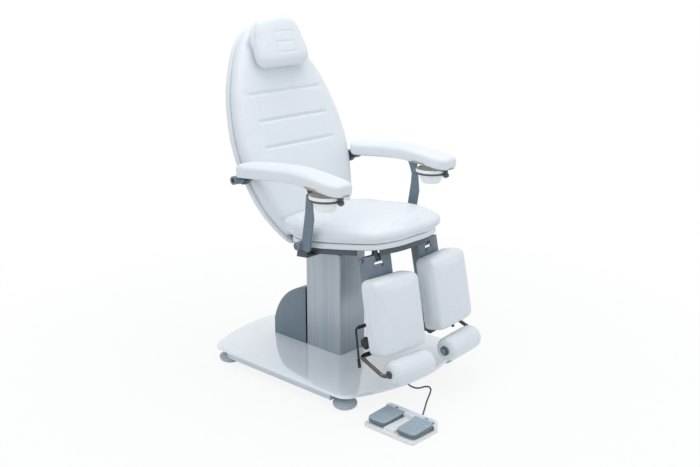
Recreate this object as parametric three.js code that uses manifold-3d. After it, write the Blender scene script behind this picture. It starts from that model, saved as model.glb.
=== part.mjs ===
// Pedicure spa chair on a lifting column, with two swing-up leg rests and a foot switch.
// Millimetres, +Z up. The sitter faces -Y, so +X is the sitter's left.
import * as THREE from 'three';
import { mergeVertices } from 'three/addons/utils/BufferGeometryUtils.js';
import Module from 'manifold-3d';

const wasm = await Module();
wasm.setup();

// ---------------------------------------------------------------- driving dimensions
const GAP = 0.3;                    // between pieces that touch
const DEG = Math.PI / 180;
const CHAIR_SHIFT = 117.5;          // column axis behind the middle of the whole footprint
const THROUGH = 400;                // half length of a cut that goes right through

// base
const BASE_HALF_WIDTH = 333;
const BASE_HALF_LENGTH = 428;
const BASE_CORNER_Y = 356;          // where the end arcs start
const BASE_CORNER_RADIUS = 46;
const BASE_TOP = 66;
const PLATE_THICKNESS = 12;
const RAIL_LENGTH = 556;
const RAIL_WIDTH = 46;
const RAIL_HEIGHT = 25;
const RAIL_WALL = 4;
const RAIL_INSET = 5;
const FOOT_INSET = 50;              // stem inside the plate's long edge
const FOOT_X = BASE_HALF_WIDTH - FOOT_INSET;
const FOOT_BEYOND_RAIL = 33;        // stem past each end of its rail
const FOOT_Y = RAIL_LENGTH / 2 + FOOT_BEYOND_RAIL;
const FOOT_RADIUS = 44;
const FOOT_PAD_HEIGHT = 33;
const FOOT_STEM_RADIUS = 9;
const FOOT_NUT_RADIUS = 19;

// lifting column
const SLEEVE_WIDTH = 145;
const SLEEVE_DEPTH = 186;
const SLEEVE_SHIFT = 5;             // column centre behind the tilt pin
const SLEEVE_CORNER = 12;
const SLEEVE_WALL = 4;
const SLEEVE_TOP = 468;
const MAST_PLAY = 0.4;
const MAST_WALL = 5;
const MAST_TOP = 470;
const MAST_LENGTH = 360;
const MAST_HEAD_THICKNESS = 6;
const MOTOR_RADIUS = 32;
const MOTOR_BORE = 22;
const MOTOR_TOP = 395;
const SPINDLE_RADIUS = 14;
const SPINDLE_FOOT = 110;
const COVER_HALF_WIDTH = 74;
const COVER_REAR_Y = 277;
const COVER_STEP = 65;              // straight rear edge under the arc
const COVER_HEIGHT = 236;
const COVER_BULGE = 26;
const COVER_WALL = 3;

// seat tilt
const TILT_Z = 494;
const SEAT_TILT = 5 * DEG;
const TILT_PIN_RADIUS = 7;
const TILT_EYE_RADIUS = 15;
const TILT_EYE_X = 44;
const TILT_EYE_THICKNESS = 10;

// seat, in the tilted seat's own frame (origin on the tilt pin)
const FRAME_BOTTOM = 19;
const FRAME_DEPTH = 22;
const FRAME_WALL = 3;
const FRAME_INSET = 12;
const SEAT_PANEL_THICKNESS = 20;
const SEAT_CUSHION_HEIGHT = 62;
const SEAT_CROWN = 9;
const SEAT_EDGE_RADIUS = 34;
const SEAT_REAR_Y = 66;
const SEAT_OUTLINE = [              // [distance in front of the rear edge, half width]
  [0, 156], [40, 200], [90, 234], [140, 248], [190, 250], [240, 242], [290, 227], [340, 210], [390, 191],
  [418, 174], [438, 146], [452, 106], [460, 60],
];
const SEAT_REAR_WIDTH_TOP = 222;    // the cushion's rear corners flare out over the panel
const SEAT_REAR_FADE = 130;         // over this length in front of the rear edge

// backrest, in its own frame (origin on the hinge axis, +Z up the back, -Y to the sitter)
const HINGE_Y = 99.5;
const HINGE_Z = 21.8;
const BACK_LEAN = 16.3 * DEG;       // from the seat's own upright
const HINGE_TUBE_RADIUS = 11;
const HINGE_HALF_LENGTH = 128;
const BACK_FRONT = 38;              // sitting face in front of the hinge axis
const BACK_SEAM = 17;               // cushion and rear panel meet behind the axis
const BACK_PANEL_THICKNESS = 22;
const BACK_FOOT = 20;
const BACK_TOP = 838;
const BACK_LOWER_END = -14;          // the rear panel reaches below the hinge
const HUB_SLOT_PLAY = 2;
const BACK_CROWN = 7;
const BACK_EDGE_RADIUS = 28;
const BACK_OUTLINE = [              // [height above the panel's lower end, half width]
  [0, 118], [12, 134], [22, 144], [79, 187], [158, 230], [258, 259], [315, 269], [390, 274], [475, 265],
  [560, 247], [635, 222], [735, 170], [790, 130], [830, 88], [852, 44],
];
const CHANNEL_HEIGHTS = [356, 457, 563];
const CHANNEL_HALF_LENGTH = 175;
const CHANNEL_DEPTH = 5;
const CHANNEL_HALF_WIDTH = 9;

// back frame behind the panel
const BACK_RAIL_X = 104;
const BACK_RAIL_THICKNESS = 8;
const BACK_RAIL_DEPTH = 18;
const BACK_RAIL_TOP = 576;
const BACK_HUB_RADIUS = 16.5;
const CROSS_BAR_HALF_HEIGHT = 14;
const UPPER_BAR_Z = 536;
const UPPER_BAR_HALF_LENGTH = 170;
const AXLE_HEIGHT = 268;            // armrest axle up the back
const AXLE_Y = -1;
const AXLE_RADIUS = 16;
const AXLE_BORE = 9;
const AXLE_SOCKET_DEPTH = 12;
const AXLE_EAR_X = 267;
const AXLE_EAR_THICKNESS = 5;
const AXLE_END_X = 340;

// headrest, in the backrest's frame
const HEAD_FOOT = 649;
const HEAD_HALF_WIDTH = 134;
const HEAD_BOARD_THICKNESS = 6;
const HEAD_CUSHION_HEIGHT = 46;
const HEAD_CROWN = 8;
const HEAD_EDGE_RADIUS = 24;
const HEAD_OUTLINE = [
  [0, 84], [8, 100], [24, 112], [62, 126], [100, 132], [135, 129], [162, 112], [182, 82], [194, 44],
];
const HEAD_SEAM_HEIGHTS = [64, 94, 124];
const HEAD_SEAM_HALF_LENGTH = 46;
const HEAD_SEAM_DEPTH = 3;

// armrest linkage, measured from the column axis and the floor
const ARM_X = 288;
const LINK_PIVOT_Y = -98;
const LINK_PIVOT_Z = 560;
const LINK_LEAN = 9.6 * DEG;
const LINK_THICKNESS = 7;
const LINK_SLEEVE_RADIUS = 15;
const LINK_SLEEVE_BORE = 9;
const LINK_SLEEVE_WIDTH = 22;
const LINK_INNER_X = 285;
const LINK_REAR_EDGE = 9;           // plate edges in front of the pivot
const LINK_FRONT_EDGE = 51;
const LINK_TAPER_START = 118;
const LINK_FOOT = 10;
const EYE_FORWARD = 17.5;           // top eye from the lower pivot, across and along the plate
const EYE_HEIGHT = 190.6;
const EYE_BORE = 9.4;
const EYE_RADIUS = 13;
const LINK_PIN_RADIUS = 3.5;
const ARM_EAR_THICKNESS = 6;
const ARM_EAR_RADIUS = 11;
const ARM_MOUNT_THICKNESS = 6;
const ARM_MOUNT_HALF_LENGTH = 26;
const ARM_MOUNT_EYE_RADIUS = 16;
const ARM_MOUNT_INNER_X = 150;
const ARM_MOUNT_PIN_RECESS = 6;     // pin ends short of the link's sleeve

// armrest body, from its rear axle
const ARM_PAD_THICKNESS = 38;
const ARM_TIP_THICKNESS = 22;
const ARM_TAPER_START = 0.58;
const ARM_PAD_HALF_WIDTH = 52;
const ARM_PAD_EDGE = 18;
const ARM_PAD_CROWN = 4;
const ARM_REAR_SHIFT = 26;           // the pad's rear end bends outwards past the backrest
const ARM_REAR_SHIFT_END = 60;
const ARM_BOARD_THICKNESS = 8;
const ARM_BOARD_INSET = 5;
const ARM_CARRIER_THICKNESS = 4;
const ARM_CARRIER_HALF_WIDTH = 25;
const ARM_HUB_RADIUS = 23;
const ARM_HUB_WIDTH = 20;
const ARM_UNDERSIDE = [             // [in front of the axle, above the axle]: pad's lower face
  [14, 21], [78, 26], [150, 33], [225, 39], [303, 42], [370, 39], [430, 34], [480, 29], [520, 25],
];

// manicure bowl on its swivel ring
const BOWL_PIN_FORWARD = 495;       // in front of the axle
const BOWL_PIN_RADIUS = 8;
const BOWL_PIN_DROP = 14;           // pin end below the axle height
const RING_REACH = 69.5;
const RING_OUTER = 61;
const RING_INNER = 54.5;
const RING_BOTTOM = -9;             // from the axle height
const RING_HEIGHT = 7;
const RING_HUB_RADIUS = 12;
const BOWL_RIM_HEIGHT = 12;
const BOWL_DEPTH = 44;
const BOWL_FOOT_RADIUS = 36;
const BOWL_WALL = 3;

// leg rests, each in its own frame (origin on its hinge, +Z up the leg, -Y to the front)
const LEG_X = 137;
const LEG_HINGE_Y = -318;
const LEG_HINGE_Z = 527;
const LEG_NOTCH = [66, 208, -352, -284];  // cleared in the seat frame above each leg: |x| and y limits
const LEG_LEAN = -11 * DEG;          // foot end swung forward
const LEG_SPLAY = 5 * DEG;
const LEG_PIN_RADIUS = 7;
const HANGER_HALF_WIDTH = 52;
const HANGER_RADIUS = 13;
const HANGER_STEM_RADIUS = 11;
const STEM_NOTCH_HALF = 14;           // cleared in the channel's top, so that it swings past the stem
const STEM_NOTCH_DEPTH = 21;
const CHANNEL_HALF = 62;
const CHANNEL_FRONT = 18;
const CHANNEL_REAR = 17;
const CHANNEL_WALL = 3;
const CHANNEL_TOP = 12;
const CHANNEL_FOOT = 200;
const SLOT_WIDTH = 7;
const SLOT_DROP = 14;
const SLOT_LENGTH = 40;
const SLOT_LEG = 20;
const SLIDE_PLAY = 0.4;
const SLIDE_TOP = 24;
const SLIDE_FOOT = 330;
const SLIDE_WALL = 4;
const PAD_BOARD_GAP = 1.5;
const PAD_HALF_WIDTH = 106;
const PAD_LENGTH = 272;
const PAD_TOP = { right: 62, left: 44 };    // the sitter's right leg rest is drawn out further
const PAD_THICKNESS = 90;
const PAD_CROWN = 12;
const PAD_EDGE_RADIUS = 26;
const PAD_CORNER = 34;
const LEVER_DOWN = 227;
const LEVER_REAR = 6;
const LEVER_RADIUS = 4;
const LEVER_REACH = 62;
const LEVER_DROP = 138;
const LEVER_BEND = 12;
const KNOB_DOWN = 290;
const KNOB_REAR = 5;
const KNOB_RADIUS = 23;
const KNOB_WIDTH = 20;
const KNOB_LOBES = 6;
const KNOB_STEM = 14;
const ARM_DOWN = 328;
const ARM_FRONT = 2;
const ROD_RADIUS = 7;
const ROD_OUT_X = 125;
const ROD_BEND = 16;
const ROLLER_DOWN = 388;
const ROLLER_FRONT = { right: 110, left: 96 };
const ROLLER_RADIUS = 45;
const ROLLER_HALF_LENGTH = 98;
const ROLLER_END = 24;
const ROLLER_BORE = 8;
const ROLLER_NUT_RADIUS = 14;
const HOLDER_RADIUS = 15;
const HOLDER_HALF_WIDTH = 46;

// foot switch
const SWITCH_Y = -567;
const SWITCH_DEPTH = 144;
const SWITCH_WIDTH = 220;
const SWITCH_X = SWITCH_DEPTH / 2 - ARM_X - RING_OUTER;   // its outer edge stands under the bowl's
const SWITCH_FLOOR = 12;
const SWITCH_RAIL_HEIGHT = 38;
const SWITCH_RAIL_DEPTH = 32;
const SWITCH_RIB = 46;
const SWITCH_CORNER = 14;
const PEDAL_LENGTH = 106;
const PEDAL_WIDTH = 80;
const PEDAL_REAR_TOP = 40;
const PEDAL_FRONT_TOP = 34;
const PEDAL_CORNER = 12;
const PEDAL_PLAY = 2;
const PEDAL_AXLE_Z = 29;
const PEDAL_AXLE_RADIUS = 4;
const PEDAL_TRAVEL_GAP = 6;

// pedal cable
const CABLE_RADIUS = 3;
const GLAND_RADIUS = 8;
const GLAND_LENGTH = 22;
const CABLE_EXIT = [30, -262, 40];
const CABLE_ROUTE = [
  [30, -262, 40], [30, -274, 40], [29, -290, 37], [25, -312, 25], [18, -336, 10], [10, -360, 4.8],
  [4, -384, 3.7], [6, -402, 3.5], [20, -413, 3.5], [36, -417, 3.5], [46, -428, 3.5], [36, -447, 3.5],
  [12, -464, 3.5], [-20, -482, 3.5], [-62, -506, 3.5], [-104, -532, 3.7], [-146, -558, 4.8], [-170, -572, 8],
  [-187, -578, 11], [-204.7, -579, 11],
];

// ---------------------------------------------------------------- materials
function paint(color, roughness, metalness) {
  return new THREE.MeshStandardMaterial({ color, roughness, metalness });
}
const LEATHER = paint(0xe9edf0, 0.45, 0);
const PANEL_LEATHER = paint(0xdfe4e8, 0.5, 0);
const BLUE_GREY = paint(0x6f7f8a, 0.45, 0.3);
const DARK_GREY = paint(0x4d5359, 0.5, 0.3);
const STEEL = paint(0x9a9fa5, 0.35, 0.9);
const CHROME = paint(0xb5b0a6, 0.2, 1);
const GLOSS_WHITE = paint(0xe2e9ee, 0.15, 0);
const RAIL_GREY = paint(0xb9c2c8, 0.4, 0.1);
const BLACK = paint(0x141416, 0.5, 0);
const BOWL_WHITE = paint(0xe4e1dc, 0.3, 0);
const PLYWOOD = paint(0xb39f7c, 0.7, 0);
const SWITCH_WHITE = paint(0xe6e7e4, 0.45, 0);
const PEDAL_GREY = paint(0x8fa3ab, 0.5, 0);
const CABLE_GREY = paint(0x6c7176, 0.55, 0);

// ---------------------------------------------------------------- solids: join and cut
function toManifold(geometry) {
  const bare = geometry.clone();
  bare.deleteAttribute('normal');
  bare.deleteAttribute('uv');
  const merged = mergeVertices(bare, 1e-4);
  const index = merged.index.array;
  const kept = [];
  for (let i = 0; i < index.length; i += 3) {
    const [a, b, c] = [index[i], index[i + 1], index[i + 2]];
    if (a !== b && b !== c && c !== a) kept.push(a, b, c);
  }
  const vertProperties = new Float32Array(merged.attributes.position.array);
  const solid = new wasm.Mesh({ numProp: 3, vertProperties, triVerts: new Uint32Array(kept) });
  solid.merge();
  return new wasm.Manifold(solid);
}

function toGeometry(manifold) {
  const mesh = manifold.getMesh();
  const geometry = new THREE.BufferGeometry();
  geometry.setAttribute('position', new THREE.BufferAttribute(new Float32Array(mesh.vertProperties), 3));
  geometry.setIndex(new THREE.BufferAttribute(new Uint32Array(mesh.triVerts), 1));
  return geometry;
}

function join(first, ...others) {
  return toGeometry(others.reduce((sum, g) => sum.add(toManifold(g)), toManifold(first)));
}

function cut(first, ...tools) {
  return toGeometry(tools.reduce((left, g) => left.subtract(toManifold(g)), toManifold(first)));
}

// ---------------------------------------------------------------- shapes and basic forms
const UNIT_X = new THREE.Vector3(1, 0, 0);
const UNIT_Y = new THREE.Vector3(0, 1, 0);
const UNIT_Z = new THREE.Vector3(0, 0, 1);
const AXES = {
  x: new THREE.Matrix4().makeBasis(UNIT_Y, UNIT_Z, UNIT_X),
  y: new THREE.Matrix4().makeBasis(UNIT_Z, UNIT_X, UNIT_Y),
  z: new THREE.Matrix4(),
};

// A profile extruded along an axis: (y, z) along x, (z, x) along y, (x, y) along z.
function slab(shape, axis, from, to, curveSegments = 4) {
  const geometry = new THREE.ExtrudeGeometry(shape, { depth: to - from, bevelEnabled: false, curveSegments });
  return geometry.translate(0, 0, from).applyMatrix4(AXES[axis]);
}

function rod(axis, a, b, radius, from, to, sides = 16) {
  const geometry = new THREE.CylinderGeometry(radius, radius, to - from, sides);
  geometry.rotateX(Math.PI / 2).translate(a, b, (from + to) / 2);
  return geometry.applyMatrix4(AXES[axis]);
}

function block(x0, x1, y0, y1, z0, z1) {
  const geometry = new THREE.BoxGeometry(x1 - x0, y1 - y0, z1 - z0);
  return geometry.translate((x0 + x1) / 2, (y0 + y1) / 2, (z0 + z1) / 2);
}

function roundRect(u0, v0, u1, v1, radius) {
  const shape = new THREE.Shape();
  shape.moveTo(u0 + radius, v0);
  shape.lineTo(u1 - radius, v0);
  shape.absarc(u1 - radius, v0 + radius, radius, -Math.PI / 2, 0);
  shape.lineTo(u1, v1 - radius);
  shape.absarc(u1 - radius, v1 - radius, radius, 0, Math.PI / 2);
  shape.lineTo(u0 + radius, v1);
  shape.absarc(u0 + radius, v1 - radius, radius, Math.PI / 2, Math.PI);
  shape.lineTo(u0, v0 + radius);
  shape.absarc(u0 + radius, v0 + radius, radius, Math.PI, 1.5 * Math.PI);
  return shape;
}

const polygon = (points) => new THREE.Shape(points.map(([u, v]) => new THREE.Vector2(u, v)));

function withHole(shape, hole) {
  shape.holes.push(hole);
  return shape;
}

function disc(u, v, radius) {
  const shape = new THREE.Shape();
  shape.absarc(u, v, radius, 0, 2 * Math.PI);
  return shape;
}

function lathe(points, sides) {
  const profile = points.map(([r, h]) => new THREE.Vector2(r, h));
  return new THREE.LatheGeometry(profile, sides).rotateX(Math.PI / 2);
}

function pipe(path, radius, steps, sides) {
  const section = new THREE.Shape();
  for (let i = 0; i < sides; i += 1) {
    const angle = (2 * Math.PI * i) / sides;
    const corner = [radius * Math.cos(angle), radius * Math.sin(angle)];
    if (i === 0) section.moveTo(...corner);
    else section.lineTo(...corner);
  }
  section.closePath();
  return new THREE.ExtrudeGeometry(section, { steps, extrudePath: path, bevelEnabled: false });
}

// A path through given stations, one extrusion step each, so straight runs cost a single step.
class StationPath extends THREE.Curve {
  constructor(stations) {
    super();
    this.stations = stations;
  }

  getPoint(t, target = new THREE.Vector3()) {
    const last = this.stations.length - 1;
    const at = Math.min(Math.max(t, 0), 1) * last;
    const i = Math.min(Math.floor(at), last - 1);
    return target.lerpVectors(this.stations[i], this.stations[i + 1], at - i);
  }

  getPointAt(u, target) {
    return this.getPoint(u, target);
  }

  getTangentAt(u, target = new THREE.Vector3()) {
    const last = this.stations.length - 1;
    const i = Math.round(u * last);
    const before = this.stations[Math.max(i - 1, 0)];
    const here = this.stations[i];
    const after = this.stations[Math.min(i + 1, last)];
    const arriving = here.clone().sub(before).normalize();
    const leaving = after.clone().sub(here).normalize();
    return target.addVectors(arriving, leaving).normalize();
  }
}

// Straight runs with rounded corners.
function bentPath(corners, bend, bendSteps = 4) {
  const nodes = corners.map((c) => new THREE.Vector3(...c));
  const stations = [nodes[0]];
  for (let i = 1; i < nodes.length - 1; i += 1) {
    const enter = nodes[i].clone().sub(nodes[i - 1]).normalize().multiplyScalar(-bend).add(nodes[i]);
    const leave = nodes[i + 1].clone().sub(nodes[i]).normalize().multiplyScalar(bend).add(nodes[i]);
    stations.push(...new THREE.QuadraticBezierCurve3(enter, nodes[i], leave).getPoints(bendSteps));
  }
  stations.push(nodes.at(-1));
  return new StationPath(stations);
}

// Half width along an outline given by a few [distance, half width] pairs.
function widthAlong(outline) {
  const curve = new THREE.SplineCurve(outline.map(([d, w]) => new THREE.Vector2(d, w)));
  const samples = curve.getPoints(160);
  return (distance) => {
    const next = samples.findIndex((p) => p.x >= distance);
    if (next <= 0) return next === 0 ? samples[0].y : samples.at(-1).y;
    const [a, b] = [samples[next - 1], samples[next]];
    return a.y + ((b.y - a.y) * (distance - a.x)) / (b.x - a.x);
  };
}

// Closed plan of an outline, drawn in by an inset; u runs across, v along.
function outlineShape(outline, inset, place, steps = 14) {
  const width = widthAlong(outline);
  const length = outline.at(-1)[0];
  const side = [];
  for (let i = 0; i <= steps; i += 1) {
    const d = (length * (1 - Math.cos((Math.PI * i) / steps))) / 2;
    const shifted = inset + (d * (length - 2 * inset)) / length;
    side.push([width(d) - inset, shifted]);
  }
  const mirrored = side.map(([w, d]) => [-w, d]).reverse();
  return polygon([...side, ...mirrored].map(([w, d]) => place(w, d)));
}

// ---------------------------------------------------------------- cushions
// Closed loft through rings of equal size, capped by a fan at each end.
function loft(rings) {
  const count = rings[0].length;
  const points = rings.flat();
  const faces = [];
  for (let r = 0; r + 1 < rings.length; r += 1) {
    for (let i = 0; i < count; i += 1) {
      const j = (i + 1) % count;
      const [a, b, c, d] = [r * count + i, r * count + j, (r + 1) * count + j, (r + 1) * count + i];
      faces.push(a, b, c, a, c, d);
    }
  }
  [0, rings.length - 1].forEach((r) => {
    const centre = rings[r].reduce((sum, p) => sum.add(p), new THREE.Vector3()).divideScalar(count);
    points.push(centre);
    for (let i = 0; i < count; i += 1) {
      const j = (i + 1) % count;
      if (r === 0) faces.push(points.length - 1, r * count + j, r * count + i);
      else faces.push(points.length - 1, r * count + i, r * count + j);
    }
  });
  const geometry = new THREE.BufferGeometry().setFromPoints(points);
  geometry.setIndex(faces);
  if (signedVolume(points, faces) < 0) geometry.setIndex(faces.reverse());
  return geometry;
}

function signedVolume(points, faces) {
  let volume = 0;
  for (let i = 0; i < faces.length; i += 3) {
    const [a, b, c] = [points[faces[i]], points[faces[i + 1]], points[faces[i + 2]]];
    volume += a.dot(b.clone().cross(c));
  }
  return volume;
}

// One section of a cushion: flat underside, side drawn in at the seam, rounded edge, crowned face.
// Returns [across, height, share of the face] anticlockwise from the underside's middle.
function section(half, height, edge, crown) {
  const radius = Math.min(edge, half * 0.7, height * 0.8);
  const drawn = radius * 0.12;
  const flat = half - radius;
  const side = [[half * 0.5, 0], [half - drawn, 0], [half, (height - radius) * 0.6]];
  [0.1, 0.35, 0.6, 0.85].forEach((share) => {
    const angle = share * (Math.PI / 2);
    side.push([flat + radius * Math.cos(angle), height - radius + radius * Math.sin(angle)]);
  });
  [0.85, 0.6, 0.3].forEach((share) => {
    side.push([flat * share, height + crown * (1 - share * share)]);
  });
  const mirrored = side.map(([x, h]) => [-x, h]).reverse();
  return [[0, 0], ...side, [0, height + crown], ...mirrored];
}

// How much of the full height is left near an end that rounds over.
function endRound(distance, length, radius) {
  const near = Math.min(distance, length - distance);
  if (near >= radius) return 1;
  const rest = 1 - near / radius;
  return Math.sqrt(1 - rest * rest);
}

const cosineSteps = (length, count) => Array.from(
  { length: count + 1 }, (_, i) => (length * (1 - Math.cos((Math.PI * i) / count))) / 2);

// ---------------------------------------------------------------- frames of reference
const chair = new THREE.Group();
const group = new THREE.Group();
group.add(chair);
chair.position.y = CHAIR_SHIFT;

function frame(parent, x, y, z, turn = 0, spin = 0) {
  const child = new THREE.Group();
  child.position.set(x, y, z);
  child.rotation.set(turn, 0, spin, 'ZYX');
  parent.add(child);
  return child;
}

function add(parent, name, geometry, material) {
  const mesh = new THREE.Mesh(geometry, material);
  mesh.name = name;
  parent.add(mesh);
  return mesh;
}

const SIDES = [['right', -1], ['left', 1]];
const seat = frame(chair, 0, 0, TILT_Z, -SEAT_TILT);
const back = frame(seat, 0, HINGE_Y, HINGE_Z, -BACK_LEAN);
const RECLINE = SEAT_TILT + BACK_LEAN;

// A point of the tilted seat or of the leaning back, as [y, z] from the column axis and the floor.
const turned = (y, z, angle) => [
  y * Math.cos(angle) + z * Math.sin(angle),
  z * Math.cos(angle) - y * Math.sin(angle),
];
const seatPoint = (y, z) => {
  const [ty, tz] = turned(y, z, SEAT_TILT);
  return [ty, tz + TILT_Z];
};
const backPoint = (y, z) => {
  const [hy, hz] = seatPoint(HINGE_Y, HINGE_Z);
  const [ty, tz] = turned(y, z, RECLINE);
  return [hy + ty, hz + tz];
};

// ---------------------------------------------------------------- base
function baseOutline(inset) {
  const w = BASE_HALF_WIDTH - inset;
  const corner = BASE_CORNER_Y - inset;
  const end = BASE_HALF_LENGTH - inset;
  const r = BASE_CORNER_RADIUS;
  const shape = new THREE.Shape();
  shape.moveTo(-w, -corner + r);
  shape.quadraticCurveTo(-w, -corner, -w + r, -corner - r * 0.25);
  shape.quadraticCurveTo(0, -2 * end + corner, w - r, -corner - r * 0.25);
  shape.quadraticCurveTo(w, -corner, w, -corner + r);
  shape.lineTo(w, corner - r);
  shape.quadraticCurveTo(w, corner, w - r, corner + r * 0.25);
  shape.quadraticCurveTo(0, 2 * end - corner, -w + r, corner + r * 0.25);
  shape.quadraticCurveTo(-w, corner, -w, corner - r);
  return shape;
}

function buildBase() {
  const underside = BASE_TOP - PLATE_THICKNESS;
  add(chair, 'base_plate', slab(baseOutline(0), 'z', underside, BASE_TOP, 10), GLOSS_WHITE);
  SIDES.forEach(([name, s]) => {
    const outer = BASE_HALF_WIDTH - RAIL_INSET;
    const inner = outer - RAIL_WIDTH;
    const top = underside - GAP;
    const foot = top - RAIL_HEIGHT;
    const lip = RAIL_WALL;
    const step = foot + RAIL_HEIGHT / 2;
    const railSection = polygon([
      [top, s * inner], [foot, s * inner], [foot, s * (inner + lip)], [top - lip, s * (inner + lip)],
      [top - lip, s * (outer - 2 * lip)], [foot, s * (outer - 2 * lip)], [foot, s * (outer - lip)],
      [step, s * (outer - lip)], [step, s * outer], [top, s * outer],
    ]);
    add(chair, `base_rail_${name}`, slab(railSection, 'y', -RAIL_LENGTH / 2, RAIL_LENGTH / 2), RAIL_GREY);
    [['front', -1], ['rear', 1]].forEach(([end, e]) => {
      const collar = underside - GAP;
      const turnedFoot = lathe([
        [0, 0], [FOOT_RADIUS - 12, 0], [FOOT_RADIUS - 2, 8], [FOOT_RADIUS, 17], [FOOT_RADIUS - 1, 23],
        [FOOT_NUT_RADIUS + 8, FOOT_PAD_HEIGHT - 2], [FOOT_STEM_RADIUS, FOOT_PAD_HEIGHT],
        [FOOT_STEM_RADIUS, collar - 10], [FOOT_NUT_RADIUS, collar - 10],
        [FOOT_NUT_RADIUS, collar], [0, collar],
      ], 16);
      add(frame(chair, s * FOOT_X, e * FOOT_Y, 0), `levelling_foot_${end}_${name}`, turnedFoot, DARK_GREY);
    });
  });
}

// ---------------------------------------------------------------- column
const mastHalfWidth = SLEEVE_WIDTH / 2 - SLEEVE_WALL - MAST_PLAY;
const mastHalfDepth = SLEEVE_DEPTH / 2 - SLEEVE_WALL - MAST_PLAY;

function squareTube(halfX, halfY, corner, wall, z0, z1) {
  const outer = roundRect(-halfX, -halfY, halfX, halfY, corner);
  const inner = roundRect(wall - halfX, wall - halfY, halfX - wall, halfY - wall, Math.max(corner - wall, 2));
  return slab(withHole(outer, inner), 'z', z0, z1, 3).translate(0, SLEEVE_SHIFT, 0);
}

function coverProfile(inset) {
  const front = SLEEVE_DEPTH / 2 + SLEEVE_SHIFT + GAP;
  const rear = COVER_REAR_Y - inset;
  const step = BASE_TOP + COVER_STEP;
  const top = BASE_TOP + COVER_HEIGHT - inset;
  const lift = COVER_BULGE * 2;
  const shape = new THREE.Shape();
  shape.moveTo(front, BASE_TOP + GAP);
  shape.lineTo(rear, BASE_TOP + GAP);
  shape.lineTo(rear, step);
  shape.quadraticCurveTo((front + rear) / 2 + lift, (step + top) / 2 + lift, front, top);
  return shape;
}

function buildColumn() {
  const foot = BASE_TOP + GAP;
  const sleeve = squareTube(SLEEVE_WIDTH / 2, SLEEVE_DEPTH / 2, SLEEVE_CORNER, SLEEVE_WALL, foot, SLEEVE_TOP);
  add(chair, 'column_sleeve', sleeve, STEEL);
  const outer = slab(coverProfile(0), 'x', -COVER_HALF_WIDTH, COVER_HALF_WIDTH, 10);
  const innerHalf = COVER_HALF_WIDTH - COVER_WALL;
  const inner = slab(coverProfile(COVER_WALL), 'x', -innerHalf, innerHalf, 10);
  inner.translate(0, -1, -1);
  add(chair, 'rear_cover', cut(outer, inner), BLUE_GREY);
  const motor = lathe([
    [0, foot], [MOTOR_RADIUS, foot], [MOTOR_RADIUS, MOTOR_TOP], [MOTOR_BORE, MOTOR_TOP],
    [MOTOR_BORE, SPINDLE_FOOT - 20], [0, SPINDLE_FOOT - 20],
  ], 20);
  add(chair, 'lift_motor_tube', motor, DARK_GREY);

  const mast = squareTube(mastHalfWidth, mastHalfDepth, SLEEVE_CORNER - SLEEVE_WALL, MAST_WALL,
    MAST_TOP - MAST_LENGTH, MAST_TOP);
  add(chair, 'column_mast', mast, STEEL);
  const headBottom = MAST_TOP + GAP;
  const headTop = headBottom + MAST_HEAD_THICKNESS;
  add(chair, 'lift_spindle', rod('z', 0, 0, SPINDLE_RADIUS, SPINDLE_FOOT, MAST_TOP), CHROME);

  const plan = roundRect(-mastHalfWidth, -mastHalfDepth, mastHalfWidth, mastHalfDepth, 8);
  const plate = slab(plan, 'z', headBottom, headTop).translate(0, SLEEVE_SHIFT, 0);
  const ears = SIDES.map(([, s]) => {
    const inX = s * TILT_EYE_X;
    const outX = s * (TILT_EYE_X + TILT_EYE_THICKNESS);
    const profile = new THREE.Shape();
    profile.moveTo(-TILT_EYE_RADIUS * 1.6, headTop - 1);
    profile.lineTo(TILT_EYE_RADIUS * 1.6, headTop - 1);
    profile.lineTo(TILT_EYE_RADIUS, TILT_Z);
    profile.absarc(0, TILT_Z, TILT_EYE_RADIUS, 0, Math.PI);
    return slab(profile, 'x', Math.min(inX, outX), Math.max(inX, outX));
  });
  const bore = rod('x', 0, TILT_Z, TILT_PIN_RADIUS + GAP, -THROUGH, THROUGH, 20);
  add(chair, 'mast_head', cut(join(plate, ...ears), bore), DARK_GREY);
  const pinHalf = TILT_EYE_X + TILT_EYE_THICKNESS + 4;
  add(chair, 'tilt_pin', rod('x', 0, TILT_Z, TILT_PIN_RADIUS, -pinHalf, pinHalf, 24), CHROME);
}

// ---------------------------------------------------------------- seat
const seatPlan = (w, d) => [w, SEAT_REAR_Y - d];
const FRAME_TOP = FRAME_BOTTOM + FRAME_DEPTH;
const LUG_X = TILT_EYE_X - TILT_EYE_THICKNESS - 2;
const HINGE_LUG_X = BACK_RAIL_X + BACK_RAIL_THICKNESS + 2;
const HINGE_LUG_THICKNESS = 8;
const HINGE_LUG_RADIUS = 17;

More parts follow.
